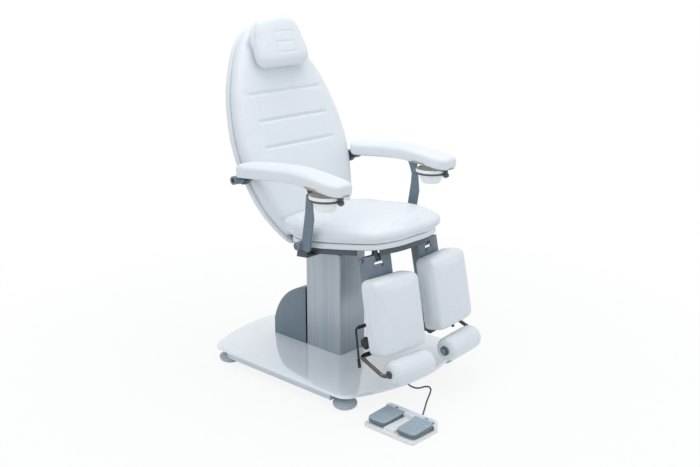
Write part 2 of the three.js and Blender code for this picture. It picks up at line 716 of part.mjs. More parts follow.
function buildSeatFrame() {
  const rim = slab(outlineShape(SEAT_OUTLINE, FRAME_INSET, seatPlan), 'z', FRAME_BOTTOM, FRAME_TOP);
  const pocket = slab(outlineShape(SEAT_OUTLINE, FRAME_INSET + FRAME_WALL, seatPlan), 'z',
    FRAME_BOTTOM - 1, FRAME_TOP - FRAME_WALL);
  const tray = cut(rim, pocket);
  const additions = [];
  const bores = [rod('x', 0, 0, TILT_PIN_RADIUS + GAP, -THROUGH, THROUGH, 16)];
  bores.push(rod('x', HINGE_Y, HINGE_Z, HINGE_TUBE_RADIUS + GAP, -200, 200, 18));
  SIDES.forEach(([, s]) => {
    const lug = new THREE.Shape();
    lug.moveTo(TILT_EYE_RADIUS, 0);
    lug.lineTo(60, FRAME_TOP - FRAME_WALL + 1);
    lug.lineTo(-60, FRAME_TOP - FRAME_WALL + 1);
    lug.lineTo(-TILT_EYE_RADIUS, 0);
    lug.absarc(0, 0, TILT_EYE_RADIUS, Math.PI, 2 * Math.PI);
    const x0 = s * LUG_X;
    const x1 = s * (LUG_X + TILT_EYE_THICKNESS);
    additions.push(slab(lug, 'x', Math.min(x0, x1), Math.max(x0, x1)));
    const arm = new THREE.Shape();
    const root = SEAT_REAR_Y - 60;
    arm.moveTo(root, FRAME_BOTTOM + 2);
    arm.lineTo(HINGE_Y, HINGE_Z - HINGE_LUG_RADIUS);
    arm.absarc(HINGE_Y, HINGE_Z, HINGE_LUG_RADIUS, -Math.PI / 2, Math.PI / 2);
    arm.lineTo(SEAT_REAR_Y - 14, FRAME_TOP - 1);
    arm.lineTo(root, FRAME_TOP - 1);
    const a0 = s * HINGE_LUG_X;
    const a1 = s * (HINGE_LUG_X + HINGE_LUG_THICKNESS);
    additions.push(slab(arm, 'x', Math.min(a0, a1), Math.max(a0, a1)));
  });
  const [n0, n1, n2, n3] = LEG_NOTCH;
  const notches = SIDES.map(([, s]) => block(Math.min(s * n0, s * n1), Math.max(s * n0, s * n1), n2, n3,
    FRAME_BOTTOM - 1, FRAME_TOP - FRAME_WALL));
  add(seat, 'seat_frame', cut(join(tray, ...additions), ...bores, ...notches), DARK_GREY);
}

function buildSeat() {
  buildSeatFrame();
  const panelBottom = FRAME_TOP + GAP;
  const panelTop = panelBottom + SEAT_PANEL_THICKNESS;
  const panel = slab(outlineShape(SEAT_OUTLINE, 0, seatPlan), 'z', panelBottom, panelTop);
  add(seat, 'seat_panel', panel, PANEL_LEATHER);
  const cushionBottom = panelTop + GAP;
  const width = widthAlong(SEAT_OUTLINE);
  const length = SEAT_OUTLINE.at(-1)[0];
  const top = SEAT_CUSHION_HEIGHT + SEAT_CROWN;
  const rings = cosineSteps(length, 24).map((d) => {
    const isFront = d > length / 2;
    const round = 0.4 + 0.6 * endRound(d, length, isFront ? SEAT_EDGE_RADIUS * 1.6 : SEAT_EDGE_RADIUS / 3);
    const rear = Math.max(1 - d / SEAT_REAR_FADE, 0);
    const flare = ((SEAT_REAR_WIDTH_TOP - width(0)) / width(0)) * rear;
    const lean = Math.tan(BACK_LEAN) * rear;
    const ring = section(width(d), SEAT_CUSHION_HEIGHT * round, SEAT_EDGE_RADIUS, SEAT_CROWN * round);
    return ring.map(([x, h]) => {
      const up = h / top;
      return new THREE.Vector3(x * (1 + flare * up), SEAT_REAR_Y - d + lean * h, cushionBottom + h);
    });
  });
  add(seat, 'seat_cushion', loft(rings), LEATHER);
  const tube = rod('x', HINGE_Y, HINGE_Z, HINGE_TUBE_RADIUS, -HINGE_HALF_LENGTH, HINGE_HALF_LENGTH, 24);
  add(seat, 'back_hinge_tube', tube, STEEL);
}

// ---------------------------------------------------------------- backrest
const backPlan = (w, d) => [BACK_LOWER_END + d, w];
const PANEL_REAR = BACK_SEAM + GAP + BACK_PANEL_THICKNESS;
const RAIL_FRONT = PANEL_REAR + GAP;

function backFace(x, s, h) {
  if (h < BACK_SEAM + BACK_FRONT - BACK_EDGE_RADIUS) return h;
  const inside = Math.abs(x) <= CHANNEL_HALF_LENGTH + 8;
  const depths = CHANNEL_HEIGHTS.map((c) => 1 - Math.abs(s - c) / CHANNEL_HALF_WIDTH);
  return inside ? h - CHANNEL_DEPTH * Math.max(0, ...depths) : h;
}

function backStations() {
  const length = BACK_TOP - BACK_FOOT;
  const plain = cosineSteps(length, 22).map((d) => d + BACK_FOOT)
    .filter((s) => CHANNEL_HEIGHTS.every((c) => Math.abs(s - c) > 2 * CHANNEL_HALF_WIDTH));
  const sewn = CHANNEL_HEIGHTS.flatMap((c) => [c - CHANNEL_HALF_WIDTH, c, c + CHANNEL_HALF_WIDTH]);
  return [...plain, ...sewn].sort((a, b) => a - b);
}

function buildBackFrame() {
  const rearY = RAIL_FRONT + BACK_RAIL_DEPTH;
  const pieces = SIDES.map(([, s]) => {
    const rail = new THREE.Shape();
    rail.moveTo(BACK_HUB_RADIUS, 0);
    rail.lineTo(rearY, 4);
    rail.lineTo(rearY, BACK_RAIL_TOP);
    rail.lineTo(RAIL_FRONT, BACK_RAIL_TOP);
    rail.lineTo(RAIL_FRONT, BACK_FOOT - GAP - 1);
    rail.lineTo(0, BACK_HUB_RADIUS);
    rail.absarc(0, 0, BACK_HUB_RADIUS, Math.PI / 2, 2 * Math.PI);
    const x0 = s * BACK_RAIL_X;
    const x1 = s * (BACK_RAIL_X + BACK_RAIL_THICKNESS);
    return slab(rail, 'x', Math.min(x0, x1), Math.max(x0, x1));
  });
  const bars = [
    block(-AXLE_EAR_X - AXLE_EAR_THICKNESS, AXLE_EAR_X + AXLE_EAR_THICKNESS, RAIL_FRONT, rearY - 6,
      AXLE_HEIGHT - CROSS_BAR_HALF_HEIGHT, AXLE_HEIGHT + CROSS_BAR_HALF_HEIGHT),
    block(-UPPER_BAR_HALF_LENGTH, UPPER_BAR_HALF_LENGTH, RAIL_FRONT, rearY - 6,
      UPPER_BAR_Z - CROSS_BAR_HALF_HEIGHT, UPPER_BAR_Z + CROSS_BAR_HALF_HEIGHT),
  ];
  const ears = SIDES.map(([, s]) => {
    const ear = new THREE.Shape();
    ear.moveTo(AXLE_Y, AXLE_HEIGHT - AXLE_RADIUS);
    ear.lineTo(rearY - 6, AXLE_HEIGHT - CROSS_BAR_HALF_HEIGHT);
    ear.lineTo(rearY - 6, AXLE_HEIGHT + CROSS_BAR_HALF_HEIGHT);
    ear.lineTo(AXLE_Y, AXLE_HEIGHT + AXLE_RADIUS);
    ear.absarc(AXLE_Y, AXLE_HEIGHT, AXLE_RADIUS, Math.PI / 2, 1.5 * Math.PI);
    const x0 = s * AXLE_EAR_X;
    const x1 = s * (AXLE_EAR_X + AXLE_EAR_THICKNESS);
    return slab(ear, 'x', Math.min(x0, x1), Math.max(x0, x1));
  });
  const bore = rod('x', 0, 0, HINGE_TUBE_RADIUS + GAP, -THROUGH, THROUGH, 20);
  add(back, 'back_frame', cut(join(...pieces, ...bars, ...ears), bore), DARK_GREY);
}

function buildBack() {
  buildBackFrame();
  const sheet = slab(outlineShape(BACK_OUTLINE, 0, backPlan, 20), 'y', BACK_SEAM + GAP, PANEL_REAR);
  const hubSlots = SIDES.map(([, s]) => {
    const x0 = s * (BACK_RAIL_X - HUB_SLOT_PLAY);
    const x1 = s * (BACK_RAIL_X + BACK_RAIL_THICKNESS + HUB_SLOT_PLAY);
    return block(Math.min(x0, x1), Math.max(x0, x1), 0, PANEL_REAR + 1, BACK_LOWER_END - 1, BACK_FOOT);
  });
  add(back, 'back_panel', cut(sheet, ...hubSlots), PANEL_LEATHER);
  const width = widthAlong(BACK_OUTLINE);
  const length = BACK_TOP - BACK_FOOT;
  const rings = backStations().map((s) => {
    const d = s - BACK_FOOT;
    const round = 0.4 + 0.6 * endRound(d, length, BACK_EDGE_RADIUS * 1.8);
    const crown = BACK_CROWN * endRound(d, length, 160) * round;
    return section(width(s - BACK_LOWER_END), (BACK_SEAM + BACK_FRONT) * round, BACK_EDGE_RADIUS, crown)
      .map(([x, h]) => new THREE.Vector3(x, BACK_SEAM - backFace(x, s, h), s));
  });
  add(back, 'back_cushion', loft(rings), LEATHER);
  SIDES.forEach(([name, s]) => {
    const start = AXLE_EAR_X + AXLE_EAR_THICKNESS + GAP;
    const socket = AXLE_END_X - AXLE_SOCKET_DEPTH;
    const axle = lathe([
      [0, start], [AXLE_RADIUS, start], [AXLE_RADIUS, AXLE_END_X - 2], [AXLE_RADIUS - 2, AXLE_END_X],
      [AXLE_BORE, AXLE_END_X], [AXLE_BORE, socket], [0, socket],
    ], 24).rotateY((s * Math.PI) / 2).translate(0, AXLE_Y, AXLE_HEIGHT);
    add(back, `arm_axle_${name}`, axle, BLUE_GREY);
  });
}

// ---------------------------------------------------------------- headrest
function buildHeadrest() {
  const rear = BACK_FRONT + BACK_CROWN + GAP;
  const place = (w, d) => [HEAD_FOOT + d, w];
  const board = slab(outlineShape(HEAD_OUTLINE, 14, place, 10), 'y', -rear - HEAD_BOARD_THICKNESS, -rear);
  add(back, 'headrest_board', board, DARK_GREY);
  const seam = rear + HEAD_BOARD_THICKNESS + GAP;
  const width = widthAlong(HEAD_OUTLINE);
  const length = HEAD_OUTLINE.at(-1)[0];
  const stitched = HEAD_SEAM_HEIGHTS.flatMap((c) => [c - 5, c, c + 5]);
  const plain = cosineSteps(length, 14).filter((d) => HEAD_SEAM_HEIGHTS.every((c) => Math.abs(d - c) > 9));
  const stations = [...plain, ...stitched].sort((a, b) => a - b);
  const rings = stations.map((d) => {
    const round = 0.4 + 0.6 * endRound(d, length, HEAD_EDGE_RADIUS * 1.5);
    const crown = HEAD_CROWN * round;
    return section(width(d), HEAD_CUSHION_HEIGHT * round, HEAD_EDGE_RADIUS, crown).map(([x, h]) => {
      const onFace = h > HEAD_CUSHION_HEIGHT * 0.9 && Math.abs(x) < HEAD_SEAM_HALF_LENGTH + 30;
      const sewn = HEAD_SEAM_HEIGHTS.includes(d) && onFace;
      return new THREE.Vector3(x, -seam - h + (sewn ? HEAD_SEAM_DEPTH : 0), HEAD_FOOT + d);
    });
  });
  add(back, 'headrest_cushion', loft(rings), LEATHER);
}

// ---------------------------------------------------------------- armrests
const [AXLE_WORLD_Y, AXLE_WORLD_Z] = backPoint(AXLE_Y, AXLE_HEIGHT);
const eyeOffset = turned(-EYE_FORWARD, EYE_HEIGHT, -LINK_LEAN);
const EYE_Y = LINK_PIVOT_Y + eyeOffset[0];
const EYE_Z = LINK_PIVOT_Z + eyeOffset[1];
const EAR_OUTER_X = LINK_INNER_X - 2;

const undersideCurve = new THREE.SplineCurve(ARM_UNDERSIDE.map(([f, z]) => new THREE.Vector2(-f, z)));

// Stations shared by the pad, the board and the carrier, so that their faces stay parallel.
const ARM_MIDDLE = Array.from({ length: 15 }, (_, i) => 0.1 + i * 0.0575);
const ARM_STATIONS = [0, 0.012, 0.032, 0.06, ...ARM_MIDDLE, 0.94, 0.968, 0.988, 1];

// Strip between two offsets above the armrest's underside, as a (y, z) profile from the axle.
function undersideStrip(first, last, low, high) {
  const lower = [];
  const upper = [];
  for (let i = first; i <= last; i += 1) {
    const t = ARM_STATIONS[i];
    const p = undersideCurve.getPoint(t);
    const tangent = undersideCurve.getTangent(t);
    const normal = [tangent.y, -tangent.x];
    lower.push([p.x + normal[0] * low, p.y + normal[1] * low]);
    upper.push([p.x + normal[0] * high, p.y + normal[1] * high]);
  }
  return polygon([...lower, ...upper.reverse()]);
}

// Height of the pad's lower face above the axle, at a distance in front of it.
function undersideHeight(forward) {
  const samples = undersideCurve.getPoints(200);
  return samples.reduce((best, p) => (Math.abs(p.x + forward) < Math.abs(best.x + forward) ? p : best)).y;
}

const carrierHigh = -ARM_BOARD_THICKNESS - 2 * GAP;
const carrierLow = carrierHigh - ARM_CARRIER_THICKNESS;

function carrierGeometry(s) {
  const x0 = s * ARM_X - ARM_CARRIER_HALF_WIDTH;
  const x1 = s * ARM_X + ARM_CARRIER_HALF_WIDTH;
  const strip = slab(undersideStrip(2, 19, carrierLow, carrierHigh), 'x', x0, x1);
  const hubIn = AXLE_EAR_X + AXLE_EAR_THICKNESS + GAP + 1;
  const hubOut = hubIn + ARM_HUB_WIDTH;
  const hx = s > 0 ? [hubIn, hubOut] : [-hubOut, -hubIn];
  const hub = rod('x', 0, 0, ARM_HUB_RADIUS, ...hx, 20);
  const web = slab(polygon([[0, 10], [-22, 11.5], [-60, 14.5], [-60, 11], [-20, -10], [0, -16]]), 'x', ...hx);
  const ear = new THREE.Shape();
  const earY = EYE_Y - AXLE_WORLD_Y;
  const earZ = EYE_Z - AXLE_WORLD_Z;
  ear.moveTo(earY - ARM_EAR_RADIUS, earZ);
  ear.absarc(earY, earZ, ARM_EAR_RADIUS, Math.PI, 2 * Math.PI);
  const earTop = undersideHeight(-earY) + carrierLow + 1.5;
  ear.lineTo(earY + ARM_EAR_RADIUS * 1.6, earTop);
  ear.lineTo(earY - ARM_EAR_RADIUS * 1.6, earTop);
  const earInnerX = EAR_OUTER_X - ARM_EAR_THICKNESS;
  const ex = s > 0 ? [earInnerX, EAR_OUTER_X] : [-EAR_OUTER_X, -earInnerX];
  const earPlate = slab(ear, 'x', ...ex);
  const pinEnd = LINK_INNER_X + LINK_THICKNESS + 2;
  const px = s > 0 ? [EAR_OUTER_X - 3, pinEnd] : [-pinEnd, 3 - EAR_OUTER_X];
  const pin = rod('x', earY, earZ, LINK_PIN_RADIUS, ...px, 16);
  const bowlPin = rod('z', s * ARM_X, -BOWL_PIN_FORWARD, BOWL_PIN_RADIUS, -BOWL_PIN_DROP,
    undersideHeight(BOWL_PIN_FORWARD) + carrierHigh - 1);
  const bore = rod('x', 0, 0, AXLE_RADIUS + GAP, -THROUGH, THROUGH, 20);
  return cut(join(strip, hub, web, earPlate, pin, bowlPin), bore);
}

function armPadGeometry(s) {
  const length = ARM_UNDERSIDE.at(-1)[0] - ARM_UNDERSIDE[0][0];
  const rings = ARM_STATIONS.map((t) => {
    const p = undersideCurve.getPoint(t);
    const tangent = undersideCurve.getTangent(t);
    const along = -p.x - ARM_UNDERSIDE[0][0];
    const round = endRound(along, length, ARM_PAD_HALF_WIDTH * 0.95);
    const bend = Math.max((ARM_REAR_SHIFT_END + p.x) / ARM_REAR_SHIFT_END, 0) * ARM_REAR_SHIFT;
    const half = Math.min(ARM_PAD_HALF_WIDTH * (0.42 + 0.58 * round), ARM_PAD_HALF_WIDTH + 2 - bend);
    const taper = Math.max((along / length - ARM_TAPER_START) / (1 - ARM_TAPER_START), 0);
    const full = ARM_PAD_THICKNESS - (ARM_PAD_THICKNESS - ARM_TIP_THICKNESS) * taper;
    const height = full * (0.5 + 0.5 * round);
    return section(half, height, ARM_PAD_EDGE, ARM_PAD_CROWN * round)
      .map(([x, h]) => new THREE.Vector3(s * (ARM_X + bend) + x, p.x + tangent.y * h, p.y - tangent.x * h));
  });
  return loft(rings);
}

function buildArm(name, s) {
  const arm = frame(chair, 0, AXLE_WORLD_Y, AXLE_WORLD_Z);
  add(arm, `arm_carrier_${name}`, carrierGeometry(s), DARK_GREY);
  const boardHalf = ARM_PAD_HALF_WIDTH - ARM_BOARD_INSET;
  const strip = undersideStrip(3, 20, -ARM_BOARD_THICKNESS - GAP, -GAP);
  const board = slab(strip, 'x', s * ARM_X - boardHalf, s * ARM_X + boardHalf);
  add(arm, `arm_board_${name}`, board, PLYWOOD);
  add(arm, `arm_pad_${name}`, armPadGeometry(s), LEATHER);

  const ringZ = RING_BOTTOM;
  const centreY = -BOWL_PIN_FORWARD + RING_REACH;
  const ring = slab(withHole(disc(s * ARM_X, centreY, RING_OUTER), disc(s * ARM_X, centreY, RING_INNER)), 'z',
    ringZ, ringZ + RING_HEIGHT, 12);
  const hub = rod('z', s * ARM_X, -BOWL_PIN_FORWARD, RING_HUB_RADIUS, ringZ - 4, ringZ + RING_HEIGHT);
  const bore = rod('z', s * ARM_X, -BOWL_PIN_FORWARD, BOWL_PIN_RADIUS + GAP, -60, 60, 20);
  add(arm, `bowl_ring_${name}`, cut(join(ring, hub), bore), DARK_GREY);

  const rest = ringZ + RING_HEIGHT + GAP;
  const low = rest - BOWL_DEPTH;
  const neck = RING_INNER - 1;
  const bowl = lathe([
    [0, low], [BOWL_FOOT_RADIUS - 4, low], [BOWL_FOOT_RADIUS, low + 4],
    [neck, rest], [RING_OUTER - 1, rest], [RING_OUTER - 1, rest + BOWL_RIM_HEIGHT],
    [RING_OUTER - 1 - BOWL_WALL, rest + BOWL_RIM_HEIGHT], [neck - BOWL_WALL - 1, rest + 3],
    [BOWL_FOOT_RADIUS - BOWL_WALL, low + 8], [BOWL_FOOT_RADIUS - 9, low + BOWL_WALL],
    [0, low + BOWL_WALL],
  ], 20);
  add(frame(arm, s * ARM_X, centreY, 0), `manicure_bowl_${name}`, bowl, BOWL_WHITE);

  buildLink(name, s);
}

function buildLink(name, s) {
  const link = frame(chair, 0, LINK_PIVOT_Y, LINK_PIVOT_Z, LINK_LEAN);
  const plate = new THREE.Shape();
  plate.moveTo(-LINK_REAR_EDGE, -LINK_FOOT);
  plate.lineTo(-LINK_REAR_EDGE, LINK_TAPER_START + 20);
  plate.lineTo(-EYE_FORWARD + EYE_RADIUS, EYE_HEIGHT);
  plate.absarc(-EYE_FORWARD, EYE_HEIGHT, EYE_RADIUS, 0, Math.PI);
  plate.lineTo(-LINK_FRONT_EDGE, LINK_TAPER_START);
  plate.lineTo(-LINK_FRONT_EDGE, -LINK_FOOT + 8);
  plate.lineTo(-LINK_FRONT_EDGE + 8, -LINK_FOOT);
  const x0 = LINK_INNER_X;
  const x1 = LINK_INNER_X + LINK_THICKNESS;
  const span = (a, b) => (s > 0 ? [a, b] : [-b, -a]);
  const bar = slab(withHole(plate, disc(-EYE_FORWARD, EYE_HEIGHT, EYE_BORE)), 'x', ...span(x0, x1), 10);
  const sleeve = rod('x', 0, 0, LINK_SLEEVE_RADIUS, ...span(x0, x0 + LINK_SLEEVE_WIDTH), 20);
  const bore = rod('x', 0, 0, LINK_SLEEVE_BORE + GAP, -THROUGH, THROUGH, 20);
  add(link, `arm_link_${name}`, cut(join(bar, sleeve), bore), BLUE_GREY);
}

// Bracket on the seat frame that carries the link's lower pivot.
function buildArmMount(name, s) {
  const dy = LINK_PIVOT_Y;
  const dz = LINK_PIVOT_Z - TILT_Z;
  const [py, pz] = turned(dy, dz, -SEAT_TILT);
  const outer = LINK_INNER_X - GAP;
  const inner = outer - ARM_MOUNT_THICKNESS;
  const span = (a, b) => (s > 0 ? [a, b] : [-b, -a]);
  const ear = new THREE.Shape();
  const low = FRAME_BOTTOM - GAP - ARM_MOUNT_THICKNESS;
  ear.moveTo(py - ARM_MOUNT_HALF_LENGTH, low);
  ear.lineTo(py + ARM_MOUNT_HALF_LENGTH, low);
  ear.lineTo(py + ARM_MOUNT_EYE_RADIUS, pz);
  ear.absarc(py, pz, ARM_MOUNT_EYE_RADIUS, 0, Math.PI);
  const earPlate = slab(ear, 'x', ...span(inner, outer));
  const [f0, f1] = span(ARM_MOUNT_INNER_X, outer);
  const foot = block(f0, f1, py - ARM_MOUNT_HALF_LENGTH, py + ARM_MOUNT_HALF_LENGTH, low, FRAME_BOTTOM - GAP);
  const pinEnd = LINK_INNER_X + LINK_SLEEVE_WIDTH - ARM_MOUNT_PIN_RECESS;
  const pin = rod('x', py, pz, LINK_SLEEVE_BORE, ...span(inner + 1, pinEnd), 20);
  add(seat, `arm_mount_${name}`, join(earPlate, foot, pin), DARK_GREY);
}

// ---------------------------------------------------------------- leg rests
function channelGeometry() {
  const h = CHANNEL_HALF;
  const w = CHANNEL_WALL;
  const profile = polygon([
    [-h, -CHANNEL_FRONT], [h, -CHANNEL_FRONT], [h, CHANNEL_REAR], [h - w, CHANNEL_REAR],
    [h - w, w - CHANNEL_FRONT], [w - h, w - CHANNEL_FRONT], [w - h, CHANNEL_REAR], [-h, CHANNEL_REAR],
  ]);
  return slab(profile, 'z', -CHANNEL_FOOT, CHANNEL_TOP);
}

function legChannel(s) {
  const y0 = -CHANNEL_FRONT - 1;
  const y1 = -CHANNEL_FRONT + CHANNEL_WALL + 1;
  const inward = -s;
  const start = inward * (SLOT_LENGTH / 2);
  const across = block(-SLOT_LENGTH / 2, SLOT_LENGTH / 2, y0, y1, -SLOT_DROP - SLOT_WIDTH, -SLOT_DROP);
  const x0 = Math.min(start, start - inward * SLOT_WIDTH);
  const down = block(x0, x0 + SLOT_WIDTH, y0, y1, -SLOT_DROP - SLOT_LEG, -SLOT_DROP);
  const notchFoot = CHANNEL_TOP - STEM_NOTCH_DEPTH;
  const notch = block(-STEM_NOTCH_HALF, STEM_NOTCH_HALF, y0, y1, notchFoot, CHANNEL_TOP + 1);
  const bore = rod('x', 0, 0, LEG_PIN_RADIUS + GAP, -THROUGH, THROUGH, 20);
  return cut(channelGeometry(), across, down, notch, bore);
}

function legHanger() {
  const body = rod('x', 0, 0, HANGER_RADIUS, -HANGER_HALF_WIDTH, HANGER_HALF_WIDTH, 20);
  const pin = rod('x', 0, 0, LEG_PIN_RADIUS, -CHANNEL_HALF - 5, CHANNEL_HALF + 5, 20);
  return join(body, pin);
}

function legSlide() {
  const h = CHANNEL_HALF - CHANNEL_WALL - SLIDE_PLAY;
  const w = SLIDE_WALL;
  const front = CHANNEL_FRONT - CHANNEL_WALL - SLIDE_PLAY;
  const rear = CHANNEL_REAR - 3;
  const profile = polygon([
    [-h, -front], [h, -front], [h, rear], [h - w, rear],
    [h - w, w - front], [w - h, w - front], [w - h, rear], [-h, rear],
  ]);
  const rail = slab(profile, 'z', -SLIDE_FOOT, -SLIDE_TOP);
  const padRear = -CHANNEL_FRONT - PAD_BOARD_GAP;
  const spacer = block(-h, h, padRear + GAP, -front + 1, -SLIDE_FOOT, -CHANNEL_FOOT - 62);
  const holder = rod('x', -ARM_FRONT, -ARM_DOWN, HOLDER_RADIUS, -HOLDER_HALF_WIDTH, HOLDER_HALF_WIDTH, 20);
  const neck = block(-HOLDER_HALF_WIDTH, HOLDER_HALF_WIDTH, -front, 2, -ARM_DOWN, -SLIDE_FOOT + 6);
  const bore = rod('x', -ARM_FRONT, -ARM_DOWN, ROD_RADIUS + GAP, -100, 100, 20);
  const leverBore = rod('x', LEVER_REAR, -LEVER_DOWN, LEVER_RADIUS + GAP, -100, 100, 12);
  const knobBore = rod('x', KNOB_REAR, -KNOB_DOWN, LEVER_RADIUS + 1 + GAP, -100, 100, 12);
  return cut(join(rail, spacer, holder, neck), bore, leverBore, knobBore);
}

function calfPad(name) {
  const rear = CHANNEL_FRONT + PAD_BOARD_GAP;
  const length = PAD_LENGTH;
  const rings = cosineSteps(length, 16).map((d) => {
    const round = endRound(d, length, PAD_CORNER);
    const half = PAD_HALF_WIDTH - PAD_CORNER * 0.75 * (1 - round);
    const height = PAD_THICKNESS * (0.62 + 0.38 * round);
    return section(half, height, PAD_EDGE_RADIUS, PAD_CROWN * round)
      .map(([x, h]) => new THREE.Vector3(x, -rear - h, -PAD_TOP[name] - d));
  });
  return loft(rings);
}

function releaseLever(s) {
  const inner = CHANNEL_HALF - CHANNEL_WALL - SLIDE_PLAY - SLIDE_WALL - 6;
  const outer = CHANNEL_HALF + LEVER_REACH;
  const low = -LEVER_DOWN - LEVER_DROP;
  const path = bentPath([
    [s * inner, LEVER_REAR, -LEVER_DOWN], [s * outer, LEVER_REAR, -LEVER_DOWN],
    [s * (outer + 2), LEVER_REAR + 4, low],
  ], LEVER_BEND);
  const wire = pipe(path, LEVER_RADIUS, path.stations.length - 1, 10);
  const tip = rod('z', s * (outer + 2), LEVER_REAR + 4, LEVER_RADIUS + 2, low - 4, low + 28, 14);
  const g0 = s > 0 ? [CHANNEL_HALF + 4, outer - LEVER_BEND] : [LEVER_BEND - outer, -CHANNEL_HALF - 4];
  const grip = rod('x', LEVER_REAR, -LEVER_DOWN, LEVER_RADIUS + 2.5, ...g0, 14);
  return join(wire, tip, grip);
}

function clampKnob(s) {
  const shape = new THREE.Shape();
  const steps = KNOB_LOBES * 6;
  for (let i = 0; i < steps; i += 1) {
    const angle = (2 * Math.PI * i) / steps;
    const r = KNOB_RADIUS * (0.93 + 0.07 * Math.cos(angle * KNOB_LOBES));
    const p = [KNOB_REAR + r * Math.cos(angle), -KNOB_DOWN + r * Math.sin(angle)];
    if (i === 0) shape.moveTo(...p);
    else shape.lineTo(...p);
  }
  shape.closePath();
  const start = CHANNEL_HALF + KNOB_STEM;
  const span = (a, b) => (s > 0 ? [a, b] : [-b, -a]);
  const head = slab(shape, 'x', ...span(start, start + KNOB_WIDTH));
  const stem = rod('x', KNOB_REAR, -KNOB_DOWN, LEVER_RADIUS + 1, ...span(CHANNEL_HALF - 20, start + 2), 12);
  return join(head, stem);
}

function rollerArm(name, s) {
  const front = ROLLER_FRONT[name];
  const path = bentPath([
    [-s * (HOLDER_HALF_WIDTH - 6), -ARM_FRONT, -ARM_DOWN], [s * ROD_OUT_X, -ARM_FRONT, -ARM_DOWN],
    [s * ROD_OUT_X, -front, -ROLLER_DOWN], [-s * (ROLLER_HALF_LENGTH + 8), -front, -ROLLER_DOWN],
  ], ROD_BEND);
  const wire = pipe(path, ROD_RADIUS, path.stations.length - 1, 10);
  const span = (a, b) => (s > 0 ? [a, b] : [-b, -a]);
  const outerNut = rod('x', -front, -ROLLER_DOWN, ROLLER_NUT_RADIUS,
    ...span(ROLLER_HALF_LENGTH + GAP, ROLLER_HALF_LENGTH + 10), 20);
  const innerNut = rod('x', -front, -ROLLER_DOWN, ROLLER_NUT_RADIUS,
    ...span(-ROLLER_HALF_LENGTH - 8, -ROLLER_HALF_LENGTH - GAP), 20);
  return join(wire, outerNut, innerNut);
}

function footRoller(name) {
  const h = ROLLER_HALF_LENGTH;
  const e = ROLLER_END;
  const r = ROLLER_RADIUS;
  const profile = [[ROLLER_BORE, -h], [r * 0.45, -h]];
  [0.3, 0.65, 1].forEach((t) => {
    const angle = t * (Math.PI / 2);
    profile.push([r * (0.45 + 0.53 * Math.sin(angle)), -h + e * (1 - Math.cos(angle))]);
  });
  profile.push([r, 0]);
  const mirrored = profile.slice(0, -1).map(([a, b]) => [a, -b]).reverse();
  const closed = [...profile, ...mirrored, [ROLLER_BORE, -h]];
  return lathe(closed, 24).rotateY(Math.PI / 2).translate(0, -ROLLER_FRONT[name], -ROLLER_DOWN);
}

function buildLeg(name, s) {
  const swivel = frame(chair, s * LEG_X, LEG_HINGE_Y, LEG_HINGE_Z, 0, s * LEG_SPLAY);
  const [, ceiling] = seatPoint(LEG_HINGE_Y, FRAME_TOP - FRAME_WALL);
  const stemTop = ceiling - LEG_HINGE_Z - HANGER_STEM_RADIUS * Math.tan(SEAT_TILT) - GAP;
  const stem = rod('z', 0, 0, HANGER_STEM_RADIUS, 0, stemTop);
  add(swivel, `leg_hanger_${name}`, join(legHanger(), stem), DARK_GREY);
  const leg = frame(swivel, 0, 0, 0, LEG_LEAN);
  add(leg, `leg_channel_${name}`, legChannel(s), BLUE_GREY);
  add(leg, `leg_slide_${name}`, legSlide(), DARK_GREY);
  add(leg, `calf_pad_${name}`, calfPad(name), LEATHER);
  add(leg, `release_lever_${name}`, releaseLever(s), STEEL);
  add(leg, `clamp_knob_${name}`, clampKnob(s), BLACK);
  add(leg, `roller_arm_${name}`, rollerArm(name, s), CHROME);
  add(leg, `foot_roller_${name}`, footRoller(name), LEATHER);
}

